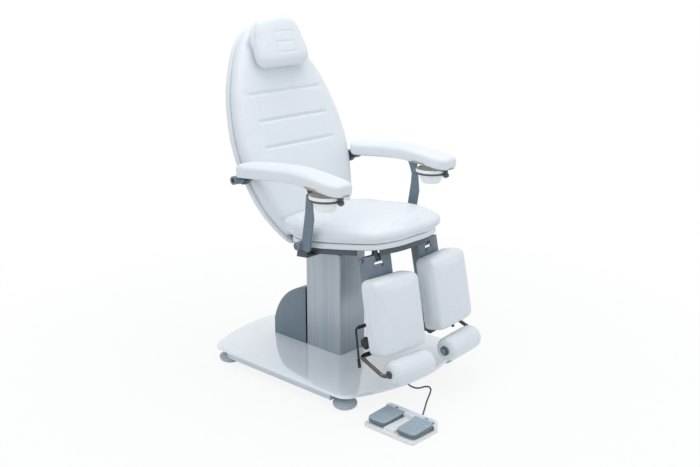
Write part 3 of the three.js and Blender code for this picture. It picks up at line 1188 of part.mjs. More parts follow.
// ---------------------------------------------------------------- foot switch
function buildSwitch() {
  const part = frame(chair, SWITCH_X, SWITCH_Y, 0);
  const hx = SWITCH_DEPTH / 2;
  const hy = SWITCH_WIDTH / 2;
  const floor = slab(roundRect(-hx, -hy, hx, hy, SWITCH_CORNER), 'z', 0, SWITCH_FLOOR);
  const railStart = hx - SWITCH_RAIL_DEPTH;
  const rail = slab(roundRect(railStart, -hy, hx, hy, SWITCH_CORNER), 'z', 0, SWITCH_RAIL_HEIGHT);
  const ribHalf = SWITCH_RIB / 2;
  const rib = block(-hx * 0.86, railStart + SWITCH_CORNER, -ribHalf, ribHalf, 2, SWITCH_FLOOR + 10);
  const axleX = railStart + 7;
  const frontX = axleX - PEDAL_LENGTH;
  const pockets = [];
  const axles = [];
  [-1, 1].forEach((e) => {
    const y = e * (SWITCH_RIB / 2 + PEDAL_PLAY + PEDAL_WIDTH / 2);
    const half = PEDAL_WIDTH / 2;
    const py = half + PEDAL_PLAY;
    pockets.push(block(railStart - 2, axleX + 9, y - py, y + py, SWITCH_FLOOR, SWITCH_RAIL_HEIGHT + 5));
    axles.push(rod('y', PEDAL_AXLE_Z, axleX, PEDAL_AXLE_RADIUS, y - py - 3, y + py + 3, 12));
    const plan = slab(roundRect(frontX, y - half, axleX + 7, y + half, PEDAL_CORNER), 'z', 0, 60, 3);
    const low = SWITCH_FLOOR + PEDAL_TRAVEL_GAP;
    const side = polygon([
      [axleX + 7, low + 4], [axleX + 7, PEDAL_REAR_TOP - 3],
      [axleX + 2, PEDAL_REAR_TOP], [axleX - 12, PEDAL_REAR_TOP],
      [frontX + 10, PEDAL_FRONT_TOP + 1], [frontX, PEDAL_FRONT_TOP - 6], [frontX + 3, low],
    ].map(([x, z]) => [z, x]));
    const bore = rod('y', PEDAL_AXLE_Z, axleX, PEDAL_AXLE_RADIUS + GAP, -200, 200, 12);
    const profile = slab(side, 'y', y - half - 1, y + half + 1);
    const body = toGeometry(toManifold(plan).intersect(toManifold(profile)));
    add(part, e < 0 ? 'pedal_front' : 'pedal_rear', cut(body, bore), PEDAL_GREY);
  });
  const shell = cut(join(floor, rail, rib), ...pockets);
  add(part, 'pedal_housing', join(shell, ...axles), SWITCH_WHITE);
}

function buildCable() {
  const [gx, gy, gz] = CABLE_EXIT;
  const nose = lathe([
    [0, 0], [GLAND_RADIUS * 0.62, 0], [GLAND_RADIUS, GLAND_LENGTH * 0.5],
    [GLAND_RADIUS, GLAND_LENGTH], [0, GLAND_LENGTH],
  ], 20).rotateX(-Math.PI / 2).translate(gx, gy + GAP, gz);
  const underside = BASE_TOP - PLATE_THICKNESS - GAP;
  const holder = block(gx - 12, gx + 12, gy + GLAND_LENGTH * 0.6, gy + GLAND_LENGTH + 14, gz - 9, underside);
  add(chair, 'cable_gland', join(nose, holder), BLACK);
  const route = new THREE.CatmullRomCurve3(CABLE_ROUTE.map((p) => new THREE.Vector3(...p)));
  add(chair, 'pedal_cable', pipe(route, CABLE_RADIUS, 38, 8), CABLE_GREY);
}

// ---------------------------------------------------------------- assembly
buildBase();
buildColumn();
buildSeat();
buildBack();
buildHeadrest();
SIDES.forEach(([name, s]) => {
  buildArmMount(name, s);
  buildArm(name, s);
  buildLeg(name, s);
});
buildSwitch();
buildCable();

export default group;
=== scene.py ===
"""Looks of the pedicure spa chair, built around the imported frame. Metres, +Z up, the sitter faces -Y."""
import math

import bmesh
import bpy
import numpy as np
from mathutils import Matrix, Vector, noise
from mathutils.bvhtree import BVHTree
from mathutils.kdtree import KDTree


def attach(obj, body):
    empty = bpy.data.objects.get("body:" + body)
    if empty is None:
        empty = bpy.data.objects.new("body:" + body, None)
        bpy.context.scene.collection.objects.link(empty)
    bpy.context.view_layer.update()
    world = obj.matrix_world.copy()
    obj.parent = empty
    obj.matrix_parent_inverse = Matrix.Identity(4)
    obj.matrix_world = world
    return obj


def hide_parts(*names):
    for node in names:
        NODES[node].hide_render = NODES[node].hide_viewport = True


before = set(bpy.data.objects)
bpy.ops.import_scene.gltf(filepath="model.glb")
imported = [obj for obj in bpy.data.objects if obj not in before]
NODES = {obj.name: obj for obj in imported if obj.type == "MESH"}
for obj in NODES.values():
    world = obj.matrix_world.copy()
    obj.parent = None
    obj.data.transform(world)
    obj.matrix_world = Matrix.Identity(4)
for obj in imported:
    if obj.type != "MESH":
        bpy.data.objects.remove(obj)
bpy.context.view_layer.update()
SIDES = (("right", -1), ("left", 1))

# ---------------------------------------------------------------- sizes shared with the solids
SHIFT = 0.1175                    # column axis behind the middle of the footprint
SEAT_TILT = 5                     # degrees, as all angles here
BACK_LEAN = 16.3
TILT_Z = 0.494
HINGE = (0.0995, 0.0218)          # back hinge in the tilted seat's own frame
LEG_HINGE = (0.137, -0.318, 0.527)
LEG_LEAN = -11
LEG_SPLAY = 5
CHANNELS = (0.356, 0.457, 0.563)  # sewn channels up the back
CHANNEL_HALF = 0.175
HEAD_FOOT = 0.649
HEAD_DENTS = (0.064, 0.094, 0.124)
ARM_X = 0.288
AXLE_FORE = 0.197441              # armrest axle behind the column axis
AXLE_UP = 0.757102
BOWL_FORE = 0.4255                # bowl centre in front of the armrest axle
LINK_PIVOT = (-0.098, 0.560)      # lower pivot of the armrest's link
EYE_AT = (0.049041, 0.185012)     # armrest pin in front of, and above, that pivot
FOOT_X, FOOT_Y = 0.283, 0.311
SWITCH_X, SWITCH_Y = -0.277, -0.567
CHANNEL_SIDE = 0.062              # half the width of the leg rest's channel
LEVER_AXLE = (0.006, -0.227)      # these four are y and z in the leg rest's own frame
LEVER_TIP = (0.010, -0.365)
KNOB_AXLE = (0.005, -0.290)
ROD_AXLE = (-0.002, -0.328)
ROLLER_DOWN = 0.388
ROLLER_FRONT = {"right": 0.110, "left": 0.096}
ROLLER_HALF = 0.098
CABLE_ROUTE = [
    (30, -262, 40), (30, -274, 40), (29, -290, 37), (25, -312, 25), (18, -336, 10), (10, -360, 4.8),
    (4, -384, 3.7), (6, -402, 3.5), (20, -413, 3.5), (36, -417, 3.5), (46, -428, 3.5), (36, -447, 3.5),
    (12, -464, 3.5), (-20, -482, 3.5), (-62, -506, 3.5), (-104, -532, 3.7), (-146, -558, 4.8),
    (-170, -572, 8), (-187, -578, 11), (-204.7, -579, 11),
]
CABLE_RADIUS = 0.003


def move(x, y, z):
    return Matrix.Translation((x, y, z))


def turn(degrees, axis):
    return Matrix.Rotation(math.radians(degrees), 4, axis)


# frames of reference, as matrices into the model's frame
CHAIR = move(0, SHIFT, 0)
SEAT = CHAIR @ move(0, 0, TILT_Z) @ turn(-SEAT_TILT, "X")
BACK = SEAT @ move(0, *HINGE) @ turn(-BACK_LEAN, "X")
ARM = CHAIR @ move(0, AXLE_FORE, AXLE_UP)
LEG = {n: CHAIR @ move(s * LEG_HINGE[0], *LEG_HINGE[1:]) @ turn(s * LEG_SPLAY, "Z") @ turn(LEG_LEAN, "X")
       for n, s in SIDES}
SWITCH = CHAIR @ move(SWITCH_X, SWITCH_Y, 0)

scene = bpy.context.scene
scene.view_settings.view_transform = "Standard"

# ---------------------------------------------------------------- camera
CAMERA_AT = (-2.7027, -2.4718, 1.6110)
CAMERA_AZIMUTH = math.radians(-47.03)
CAMERA_ELEVATION = math.radians(16.21)
cam = bpy.data.objects.new("camera", bpy.data.cameras.new("camera"))
scene.collection.objects.link(cam)
cam.data.sensor_width = 36.0
cam.data.lens = 52.37
cam.data.clip_start = 0.1
cam.data.clip_end = 60
level = math.cos(CAMERA_ELEVATION)
look = Vector((-math.sin(CAMERA_AZIMUTH) * level, math.cos(CAMERA_AZIMUTH) * level,
               -math.sin(CAMERA_ELEVATION)))
cam.location = CAMERA_AT
cam.rotation_euler = look.to_track_quat("-Z", "Y").to_euler()
scene.camera = cam


# ---------------------------------------------------------------- node helpers
class Tree:
    """Short way to write a node tree: t("ShaderNodeX", {attribute: value}, Input=value or socket)."""

    def __init__(self, tree):
        self.tree = tree

    def __call__(self, kind, attrs=None, **inputs):
        node = self.tree.nodes.new(kind)
        for k, v in (attrs or {}).items():
            setattr(node, k, v)
        for k, v in inputs.items():
            label = k.replace("_", " ")
            self.put(node, label if label in node.inputs else k, v)
        return node

    def put(self, node, key, value):
        """Sets or links one input, given by its name, its number or "i" and its number."""
        if isinstance(key, str) and key.startswith("i") and key[1:].isdigit():
            key = int(key[1:])
        if isinstance(value, bpy.types.Node):
            value = value.outputs[0]
        if isinstance(value, bpy.types.NodeSocket):
            self.tree.links.new(value, node.inputs[key])
        else:
            node.inputs[key].default_value = value

    def give(self, out, *values):
        """Links the outputs of a group."""
        for k, v in enumerate(values):
            self.put(out, k, v)
        return self.tree

    def math(self, op, a, b=0.0, c=0.0, clamp=False):
        return self("ShaderNodeMath", {"operation": op, "use_clamp": clamp}, i0=a, i1=b, i2=c).outputs[0]

    def weigh(self, a, factor, rest=0.0):
        """a * factor + rest"""
        return self.math("MULTIPLY_ADD", a, factor, rest)

    def cloud(self, at, scale, detail, **more):
        return self("ShaderNodeTexNoise", Vector=at, Scale=scale, Detail=detail, **more).outputs[0]

    def stretch(self, at, by):
        return self("ShaderNodeVectorMath", {"operation": "MULTIPLY"}, i0=at, i1=by).outputs[0]


def group(name, inputs, outputs, kind="ShaderNodeTree"):
    tree = bpy.data.node_groups.new(name, kind)
    for label, socket, value in inputs:
        item = tree.interface.new_socket(label, in_out="INPUT", socket_type="NodeSocket" + socket)
        if value is not None:
            item.default_value = value
    for label, socket in outputs:
        tree.interface.new_socket(label, in_out="OUTPUT", socket_type="NodeSocket" + socket)
    given, out = tree.nodes.new("NodeGroupInput"), tree.nodes.new("NodeGroupOutput")
    return Tree(tree), given.outputs, out


SURFACE = [("Tone", "Float"), ("Roughness", "Float"), ("Normal", "Vector")]


def grain_group():
    """Embossed leatherette: pebbles with creases between them, larger soft unevenness, faint mottling."""
    t, (at, pebbles, depth, soil, *_), out = group("Leather grain", [
        ("Vector", "Vector", None), ("Pebble", "Float", 900.0), ("Depth", "Float", 0.00012),
        ("Soil", "Float", 0.03)], SURFACE)
    warp = t("ShaderNodeTexNoise", Vector=at, Scale=180.0, Detail=2.0).outputs["Color"]
    bent_at = t("ShaderNodeMix", {"data_type": "VECTOR"}, i0=0.0012, i4=at, i5=warp).outputs[1]
    cells = t("ShaderNodeTexVoronoi", {"feature": "SMOOTH_F1"}, Vector=bent_at, Scale=pebbles, Smoothness=0.5)
    fine = t.cloud(at, 2600.0, 2.0)
    wide = t.cloud(at, 22.0, 4.0, Roughness=0.55)
    soft = t.cloud(at, 5.0, 2.0)
    pebble = t.weigh(cells.outputs["Distance"], -1.0, 1.0)
    bump = t("ShaderNodeBump", Strength=0.55, Distance=depth, Height=t.weigh(fine, 0.25, pebble))
    swell = t("ShaderNodeBump", Strength=0.5, Distance=0.0016, Height=wide, Normal=bump)
    tone = t.math("SUBTRACT", t.weigh(soft, 0.6, t.weigh(wide, 0.4)), 0.3, clamp=True)
    rough = t.weigh(wide, 0.14, t.weigh(pebble, -0.1, 0.43))
    return t.give(out, t.math("MULTIPLY", tone, soil), rough, swell)


def paint_group():
    """Sprayed or powder coated metal: orange peel, faint dust and rubbed places."""
    t, (at, peel, depth, base, *_), out = group("Sprayed paint", [
        ("Vector", "Vector", None), ("Peel", "Float", 420.0), ("Depth", "Float", 0.00008),
        ("Base", "Float", 0.4)], SURFACE)
    dust = t.cloud(at, 9.0, 5.0, Roughness=0.6)
    rub = t.cloud(at, 55.0, 3.0)
    bump = t("ShaderNodeBump", Strength=0.5, Distance=depth, Height=t.cloud(at, peel, 2.0))
    rough = t.weigh(rub, 0.06, t.math("ADD", base, t.weigh(dust, 0.16, -0.08)))
    return t.give(out, t.weigh(dust, 0.7, t.weigh(rub, 0.3)), rough, bump)


def streak_group():
    """Brushed metal: long fine scratches along one direction, and broader bands of tone."""
    t, (at, along, base, *_), out = group("Brushed streaks", [
        ("Vector", "Vector", None), ("Stretch", "Vector", (900.0, 900.0, 6.0)),
        ("Base", "Float", 0.3)], SURFACE)
    long = t.stretch(at, along)
    wide = t("ShaderNodeVectorMath", {"operation": "SCALE"}, i0=long, Scale=0.09)
    fine = t.cloud(long, 1.0, 3.0, Roughness=0.7)
    bands = t.cloud(wide, 1.0, 3.0)
    smudge = t.cloud(at, 7.0, 4.0)
    bump = t("ShaderNodeBump", Strength=0.35, Distance=0.00005, Height=fine)
    rough = t.weigh(fine, 0.1, t.math("ADD", base, t.weigh(smudge, 0.2, -0.1)))
    return t.give(out, t.weigh(fine, 0.5, t.weigh(bands, 0.5)), rough, bump)


GRAIN, PAINT, STREAKS = grain_group(), paint_group(), streak_group()


def linear(*rgb):
    """Colours are written as they look on screen, 0 to 255."""
    return tuple(((c / 255 + 0.055) / 1.055) ** 2.4 if c > 10 else c / 3294.6 for c in rgb)


def ramp(t, fac, stops):
    node = t("ShaderNodeValToRGB", Fac=fac)
    ends = node.color_ramp.elements
    while len(ends) < len(stops):
        ends.new(0.5)
    for e, (p, c) in zip(ends, stops):
        e.position = p
        e.color = (*c, 1)
    return node.outputs[0]


def empty_material(name):
    m = bpy.data.materials.new(name)
    m.use_nodes = True
    t = Tree(m.node_tree)
    return m, t, m.node_tree.nodes["Principled BSDF"], t("ShaderNodeTexCoord").outputs["Object"]


def material(name, surface, one, other, settings=None, span=(0.3, 0.7), **values):
    """A Principled material whose tone, roughness and normal come from one of the shared groups."""
    m, t, shader, at = empty_material(name)
    g = m.node_tree.nodes.new("ShaderNodeGroup")
    g.node_tree = surface
    t.put(g, "Vector", at)
    for k, v in (settings or {}).items():
        g.inputs[k].default_value = v
    t.put(shader, "Base Color", ramp(t, g.outputs["Tone"], list(zip(span, (linear(*one), linear(*other))))))
    t.put(shader, "Roughness", g.outputs["Roughness"])
    t.put(shader, "Normal", g.outputs["Normal"])
    for k, v in values.items():
        shader.inputs[k.replace("_", " ")].default_value = v
    m.diffuse_color = (*linear(*other), 1)
    return m


LEATHER = material("white_leatherette", GRAIN, (233, 237, 241), (226, 231, 236), span=(0.0, 0.03),
                   Specular_IOR_Level=0.42, Sheen_Weight=0.08, Sheen_Roughness=0.4, Coat_Weight=0.05,
                   Coat_Roughness=0.35)
THREAD = material("sewing_thread", GRAIN, (226, 230, 235), (214, 219, 225),
                  {"Pebble": 2200.0, "Depth": 0.0002}, span=(0.0, 1.0))
BLUE_GREY = material("blue_grey_paint", PAINT, (107, 123, 135), (118, 134, 146), {"Base": 0.42},
                     Coat_Weight=0.15, Coat_Roughness=0.25)
DARK_GREY = material("dark_grey_paint", PAINT, (74, 82, 89), (84, 92, 99), {"Base": 0.46})
GLOSS_WHITE = material("gloss_white_lacquer", PAINT, (240, 248, 254), (245, 252, 255),
                       {"Base": 0.14, "Depth": 0.00002, "Peel": 120.0}, Coat_Weight=1.0, Coat_IOR=1.8,
                       Coat_Roughness=0.05)
RAIL = material("silver_grey_paint", PAINT, (208, 216, 223), (216, 223, 230), {"Base": 0.36})
STEEL = material("brushed_steel", STREAKS, (156, 166, 174), (190, 199, 207),
                 {"Base": 0.36, "Stretch": (1300.0, 1300.0, 5.0)}, span=(0.28, 0.72),
                 Metallic=0.6, Anisotropic=0.5)
CHROME = material("polished_rod", STREAKS, (74, 70, 68), (104, 99, 95),
                  {"Base": 0.14, "Stretch": (60.0, 60.0, 60.0)}, Metallic=1.0)
SCREW = material("zinc_screw", STREAKS, (120, 124, 126), (158, 162, 164),
                 {"Base": 0.28, "Stretch": (700.0, 700.0, 700.0)}, Metallic=1.0)
BLACK = material("black_plastic", PAINT, (24, 25, 27), (34, 35, 38),
                 {"Base": 0.5, "Peel": 1600.0, "Depth": 0.0001})
BOWL = material("bowl_plastic", PAINT, (250, 249, 246), (254, 253, 251), {"Base": 0.3, "Depth": 0.00003},
                Coat_Weight=0.3, Coat_Roughness=0.12, Subsurface_Weight=0.05)
HOUSING = material("housing_plastic", PAINT, (238, 240, 240), (245, 246, 246),
                   {"Base": 0.45, "Peel": 1400.0, "Depth": 0.00012})
PEDAL = material("pedal_plastic", PAINT, (156, 174, 184), (167, 184, 193),
                 {"Base": 0.5, "Peel": 1400.0, "Depth": 0.00016})
PEDAL_SIDE = material("pedal_skirt", PAINT, (104, 119, 129), (114, 129, 138),
                      {"Base": 0.55, "Peel": 1400.0, "Depth": 0.0001})
CABLE = material("cable_sheath", PAINT, (74, 79, 84), (88, 93, 98), {"Base": 0.5, "Peel": 900.0})
NUT_GREY = material("washer_grey_green", PAINT, (120, 142, 146), (134, 155, 158), {"Base": 0.38},
                    Metallic=0.2)
RAIL_TOP = material("rail_top_lacquer", PAINT, (206, 220, 232), (214, 227, 238),
                    {"Base": 0.25, "Peel": 900.0, "Depth": 0.00004}, Coat_Weight=0.3, Coat_Roughness=0.1)
RUBBER = material("foot_rubber", PAINT, (176, 187, 193), (188, 198, 204),
                  {"Base": 0.5, "Peel": 1100.0, "Depth": 0.00012})


def plywood():
    """Plywood seen on its edge: thin layers of alternating grain, with fibres and darker glue lines."""
    m, t, shader, at = empty_material("plywood_edge")
    fibre = t.cloud(t.stretch(at, (160.0, 40.0, 900.0)), 1.0, 4.0, Roughness=0.6)
    layer = t("ShaderNodeTexWave", {"wave_type": "BANDS", "bands_direction": "Z", "wave_profile": "SAW"},
              Vector=at, Scale=95.0, Distortion=0.6, Detail=1.0)
    glue = ramp(t, layer.outputs["Fac"], [(0.0, linear(128, 116, 94)), (0.10, linear(188, 177, 150)),
                                          (0.55, linear(200, 190, 164)), (1.0, linear(176, 164, 136))])
    shade = ramp(t, fibre, [(0.3, (0.80, 0.79, 0.77)), (0.7, (1.0, 1.0, 1.0))])
    tone = t("ShaderNodeMix", {"data_type": "RGBA", "blend_type": "MULTIPLY"}, i0=0.5, i6=glue, i7=shade)
    t.put(shader, "Base Color", tone.outputs[2])
    t.put(shader, "Normal", t("ShaderNodeBump", Strength=0.5, Distance=0.0002, Height=fibre))
    shader.inputs["Roughness"].default_value = 0.62
    return m


PLYWOOD = plywood()


# ---------------------------------------------------------------- geometry nodes for what follows a path
GEOMETRY = [("Geometry", "Geometry")]


def finish_geometry(t, out, geometry, mat):
    smooth = t("GeometryNodeSetShadeSmooth", i0=geometry)
    return t.give(out, t("GeometryNodeSetMaterial", i0=smooth, Material=mat))


def gn_piping():
    """A round welt along a curve."""
    t, (path, radius, mat, *_), out = group("Piping", [
        ("Path", "Geometry", None), ("Radius", "Float", 0.002), ("Material", "Material", None)],
        GEOMETRY, "GeometryNodeTree")
    ring = t("GeometryNodeCurvePrimitiveCircle", Resolution=10, Radius=radius)
    welt = t("GeometryNodeCurveToMesh", Curve=path, Profile_Curve=ring)
    return finish_geometry(t, out, welt, mat)


def gn_stitches():
    """A row of sewn stitches: short sunk capsules of thread, evenly spaced along a curve."""
    t, (path, spacing, length, thread, seed, mat, *_), out = group("Stitches", [
        ("Path", "Geometry", None), ("Spacing", "Float", 0.0042), ("Length", "Float", 0.003),
        ("Thread", "Float", 0.0005), ("Seed", "Int", 3), ("Material", "Material", None)],
        GEOMETRY, "GeometryNodeTree")
    points = t("GeometryNodeCurveToPoints", {"mode": "LENGTH"}, Curve=path, Length=spacing)
    bead = t("GeometryNodeMeshUVSphere", Segments=6, Rings=5, Radius=1.0)
    jitter = t("FunctionNodeRandomValue", {"data_type": "FLOAT"}, i2=0.9, i3=1.1, Seed=seed)
    half = t.math("MULTIPLY", length, t.math("MULTIPLY", jitter.outputs[1], 0.5))
    size = t("ShaderNodeCombineXYZ", X=thread, Y=thread, Z=half)
    placed = t("GeometryNodeInstanceOnPoints", Points=points.outputs["Points"], Instance=bead,
               Rotation=points.outputs["Rotation"], Scale=size)
    return finish_geometry(t, out, t("GeometryNodeRealizeInstances", i0=placed), mat)


def gn_smooth_by_angle():
    """Shades smooth except across edges sharper than an angle."""
    t, (geometry, angle, *_), out = group("Smooth by edge angle", [
        ("Geometry", "Geometry", None), ("Angle", "Float", 0.6)], GEOMETRY, "GeometryNodeTree")
    soft = t("FunctionNodeCompare", {"data_type": "FLOAT", "operation": "LESS_EQUAL"},
             i0=t("GeometryNodeInputMeshEdgeAngle"), i1=angle)
    faces = t("GeometryNodeSetShadeSmooth", {"domain": "FACE"}, i0=geometry)
    return t.give(out, t("GeometryNodeSetShadeSmooth", {"domain": "EDGE"}, i0=faces, Shade_Smooth=soft))


PIPING, STITCHES, BY_ANGLE = gn_piping(), gn_stitches(), gn_smooth_by_angle()


def socket_id(tree, label):
    return next(i.identifier for i in tree.interface.items_tree
                if i.item_type == "SOCKET" and i.in_out == "INPUT" and i.name == label)


# ---------------------------------------------------------------- mesh helpers
def new_object(name, data, mat=None):
    ob = bpy.data.objects.new(name, data)
    scene.collection.objects.link(ob)
    if mat is not None:
        ob.data.materials.append(mat)
    return ob


def from_bmesh(name, bm, mat, matrix=None, smooth=True, angle=None):
    if matrix is not None:
        bm.transform(matrix)
    bmesh.ops.recalc_face_normals(bm, faces=bm.faces)
    me = bpy.data.meshes.new(name)
    bm.to_mesh(me)
    bm.free()
    ob = new_object(name, me, mat)
    for p in me.polygons:
        p.use_smooth = smooth
    if angle is not None:
        me.set_sharp_from_angle(angle=math.radians(angle))
    return ob


def ring_mesh(name, rings, mat, matrix=None, caps=False, angle=None):
    """Skins rings of equal count. A ring of one repeated point closes the form on an axis."""
    n = len(rings[0])
    bm = bmesh.new()
    vs = [bm.verts.new(tuple(p)) for ring in rings for p in ring]
    for r in range(len(rings) - 1):
        for i in range(n):
            j = (i + 1) % n
            bm.faces.new([vs[r * n + i], vs[r * n + j], vs[(r + 1) * n + j], vs[(r + 1) * n + i]])
    if caps:
        bm.faces.new(vs[:n][::-1])
        bm.faces.new(vs[-n:])
    bmesh.ops.remove_doubles(bm, verts=bm.verts, dist=1e-7)
    bmesh.ops.dissolve_degenerate(bm, edges=bm.edges, dist=1e-8)
    return from_bmesh(name, bm, mat, matrix, True, angle)


def around(r, z, n, wave=None):
    """Points of a circle, or of a closed wavy line, about Z."""
    angles = [2 * math.pi * i / n for i in range(n)]
    radii = [max(r, 0) * (wave(a, z) if wave else 1) for a in angles]
    return [(q * math.cos(a), q * math.sin(a), z) for q, a in zip(radii, angles)]


def lathe(name, profile, mat, matrix=None, sides=64, angle=40, wave=None):
    """A turned form about Z through (radius, height) points."""
    return ring_mesh(name, [around(r, z, sides, wave) for r, z in profile], mat, matrix, angle=angle)


def corner(p, b, q, steps):
    """A quadratic curve from p to q that heads for b."""
    return [p * (1 - t) ** 2 + b * 2 * t * (1 - t) + q * t * t for t in (k / steps for k in range(steps + 1))]


def rounded(profile, radius, steps=4):
    """Rounds the corners of an open (radius, height) profile."""
    out = [profile[0]]
    for i in range(1, len(profile) - 1):
        a, b, c = (Vector(profile[j]) for j in (i - 1, i, i + 1))
        u, v = a - b, c - b
        r = min(radius, u.length * 0.45, v.length * 0.45)
        if r < 1e-6 or u.length < 1e-9 or v.length < 1e-9 or abs(u.angle(v) - math.pi) < 0.05:
            out.append(tuple(b))
        else:
            out += [tuple(p) for p in corner(b + u.normalized() * r, b, b + v.normalized() * r, steps)]
    out.append(profile[-1])
    return out


def turned(name, profile, radius, mat, matrix=None, sides=64, steps=4, angle=40):
    """A turned form from a profile in millimetres, with its corners rounded by a radius in metres."""
    profile = [(r / 1000, z / 1000) for r, z in profile]
    return lathe(name, rounded(profile, radius, steps), mat, matrix, sides, angle)


def spline(points, per=8):
    """Centripetal Catmull-Rom curve through 3-D points."""
    pts = [Vector(p) for p in points]
    n = len(pts)
    out = []
    for i in range(n - 1):
        p1, p2 = pts[i], pts[i + 1]
        p0 = pts[i - 1] if i > 0 else p1 * 2 - p2
        p3 = pts[i + 2] if i + 2 < n else p2 * 2 - p1
        t1 = max((p1 - p0).length, 1e-9) ** 0.5
        t2 = t1 + max((p2 - p1).length, 1e-9) ** 0.5
        t3 = t2 + max((p3 - p2).length, 1e-9) ** 0.5
        for k in range(per):
            t = t1 + (t2 - t1) * k / per
            a1 = p0 * ((t1 - t) / t1) + p1 * (t / t1)
            a2 = p1 * ((t2 - t) / (t2 - t1)) + p2 * ((t - t1) / (t2 - t1))
            a3 = p2 * ((t3 - t) / (t3 - t2)) + p3 * ((t - t2) / (t3 - t2))
            b1 = a1 * ((t2 - t) / t2) + a2 * (t / t2)
            b2 = a2 * ((t3 - t) / (t3 - t1)) + a3 * ((t - t1) / (t3 - t1))
            out.append(b1 * ((t2 - t) / (t2 - t1)) + b2 * ((t - t1) / (t2 - t1)))
    out.append(pts[-1])
    return out


def bent(points, radius, steps=8):
    """Straight runs with round corners."""
    pts = [Vector(p) for p in points]
    out = [pts[0]]
    for a, b, c in zip(pts, pts[1:], pts[2:]):
        out += corner(b + (a - b).normalized() * radius, b, b + (c - b).normalized() * radius, steps)
    out.append(pts[-1])
    return out


def tube(name, points, radius, mat, matrix=None, sides=16):
    """A round tube along points, with frames carried along without twist."""
    pts = [Vector(p) for p in points]
    rings = []
    normal = None
    for i, p in enumerate(pts):
        d = (pts[min(i + 1, len(pts) - 1)] - pts[max(i - 1, 0)]).normalized()
        if normal is None:
            normal = d.orthogonal().normalized()
        normal = (normal - d * normal.dot(d)).normalized()
        side = d.cross(normal)
        rings.append([p + (normal * math.cos(a) + side * math.sin(a)) * radius
                      for a in (2 * math.pi * k / sides for k in range(sides))])
    return ring_mesh(name, rings, mat, matrix, caps=True, angle=50)


def rounded_rectangle(x0, x1, y0, y1, r, n):
    """The same count of points whatever the size: n steps round each corner."""
    centres = ((x1 - r, y1 - r), (x0 + r, y1 - r), (x0 + r, y0 + r), (x1 - r, y0 + r))
    out = []
    for i, (cx, cy) in enumerate(centres):
        turns = [math.radians(90 * i + 90 * k / n) for k in range(n + 1)]
        out += [(cx + r * math.cos(a), cy + r * math.sin(a)) for a in turns]
    return out


def soft_box(name, x0, x1, y0, y1, z0, z1, r, mat, matrix, edge=0.0006):
    """A box with rounded upright corners and rounded edges."""
    def ring(inset, z):
        plan = rounded_rectangle(x0 + inset, x1 - inset, y0 + inset, y1 - inset, max(r - inset, 0.0004), 6)
        return [(x, y, z) for x, y in plan]
    angles = [math.pi / 8 * k for k in range(5)]
    steps = [(edge * (1 - math.sin(a)), edge * (1 - math.cos(a))) for a in angles]
    rings = [ring(i, z0 + d) for i, d in steps] + [ring(i, z1 - d) for i, d in reversed(steps)]
    return ring_mesh(name, rings, mat, matrix, caps=True, angle=35)


def plate(name, loops, thickness, bevel, mat, matrix):
    """A flat plate with rounded edges from 2-D loops, the first outside and the rest holes."""
    cu = bpy.data.curves.new(name, "CURVE")
    cu.dimensions = "2D"
    cu.fill_mode = "BOTH"
    cu.extrude = thickness / 2 - bevel
    cu.bevel_depth = bevel
    cu.bevel_resolution = 2
    cu.offset = -bevel
    for loop in loops:
        draw_line(cu, [(x, y, 0) for x, y in loop], True)
    ob = bake(new_object(name + "_curve", cu))
    bm = bmesh.new()
    bm.from_mesh(ob.data)
    me = ob.data
    bpy.data.objects.remove(ob)
    bpy.data.meshes.remove(me)
    bmesh.ops.remove_doubles(bm, verts=bm.verts, dist=1e-6)
    return from_bmesh(name, bm, mat, matrix, True, 35)


def draw_line(cu, points, closed):
    line = cu.splines.new("POLY")
    line.points.add(len(points) - 1)
    for q, p in zip(line.points, points):
        q.co = (*p, 1)
    line.use_cyclic_u = closed


def bake(ob):
    """The object's mesh with its modifiers applied, and none left. A curve comes back as a mesh object."""
    bpy.context.view_layer.update()
    me = bpy.data.meshes.new_from_object(ob.evaluated_get(bpy.context.evaluated_depsgraph_get()))
    old = ob.data
    if ob.type == "MESH":
        ob.modifiers.clear()
        ob.data = me
        bpy.data.meshes.remove(old)
        return ob
    name = ob.name
    bpy.data.objects.remove(ob)
    bpy.data.curves.remove(old)
    return new_object(name, me)


def path_piece(name, points, tree, mat, closed=True, **values):
    """Runs a geometry node group along a path and keeps the plain mesh."""
    cu = bpy.data.curves.new(name, "CURVE")
    cu.dimensions = "3D"
    draw_line(cu, points, closed)
    ob = new_object(name, cu)
    mod = ob.modifiers.new("along", "NODES")
    mod.node_group = tree
    for k, v in {"Material": mat, **values}.items():
        mod[socket_id(tree, k)] = v
    cu.update_tag()
    return bake(ob)


def join(name, *obs):
    """Several meshes as one piece, each with its own material kept."""
    bm = bmesh.new()
    mats = []
    for o in obs:
        slots = []
        for m in o.data.materials:
            if m not in mats:
                mats.append(m)
            slots.append(mats.index(m))
        first = len(bm.faces)
        bm.from_mesh(o.data)
        bm.faces.ensure_lookup_table()
        for f in bm.faces[first:]:
            f.material_index = slots[f.material_index] if f.material_index < len(slots) else 0
    me = bpy.data.meshes.new(name)
    bm.to_mesh(me)
    bm.free()
    for m in mats:
        me.materials.append(m)
    for o in obs:
        data = o.data
        bpy.data.objects.remove(o)
        bpy.data.meshes.remove(data)
    return new_object(name, me)


def dress(ob, mat, slot, body, nodes=()):
    """Gives a piece its material, its body and the solids that it replaces. Its slot, what the material
    stands for, is not used.
    """
    if mat is not None:
        ob.data.materials.clear()
        ob.data.materials.append(mat)
    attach(ob, body)
    if nodes:
        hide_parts(*nodes)
    return ob


# ---------------------------------------------------------------- soft forms
BLOW_FRAMES = 20
BLOW_PRESSURE = 4.0


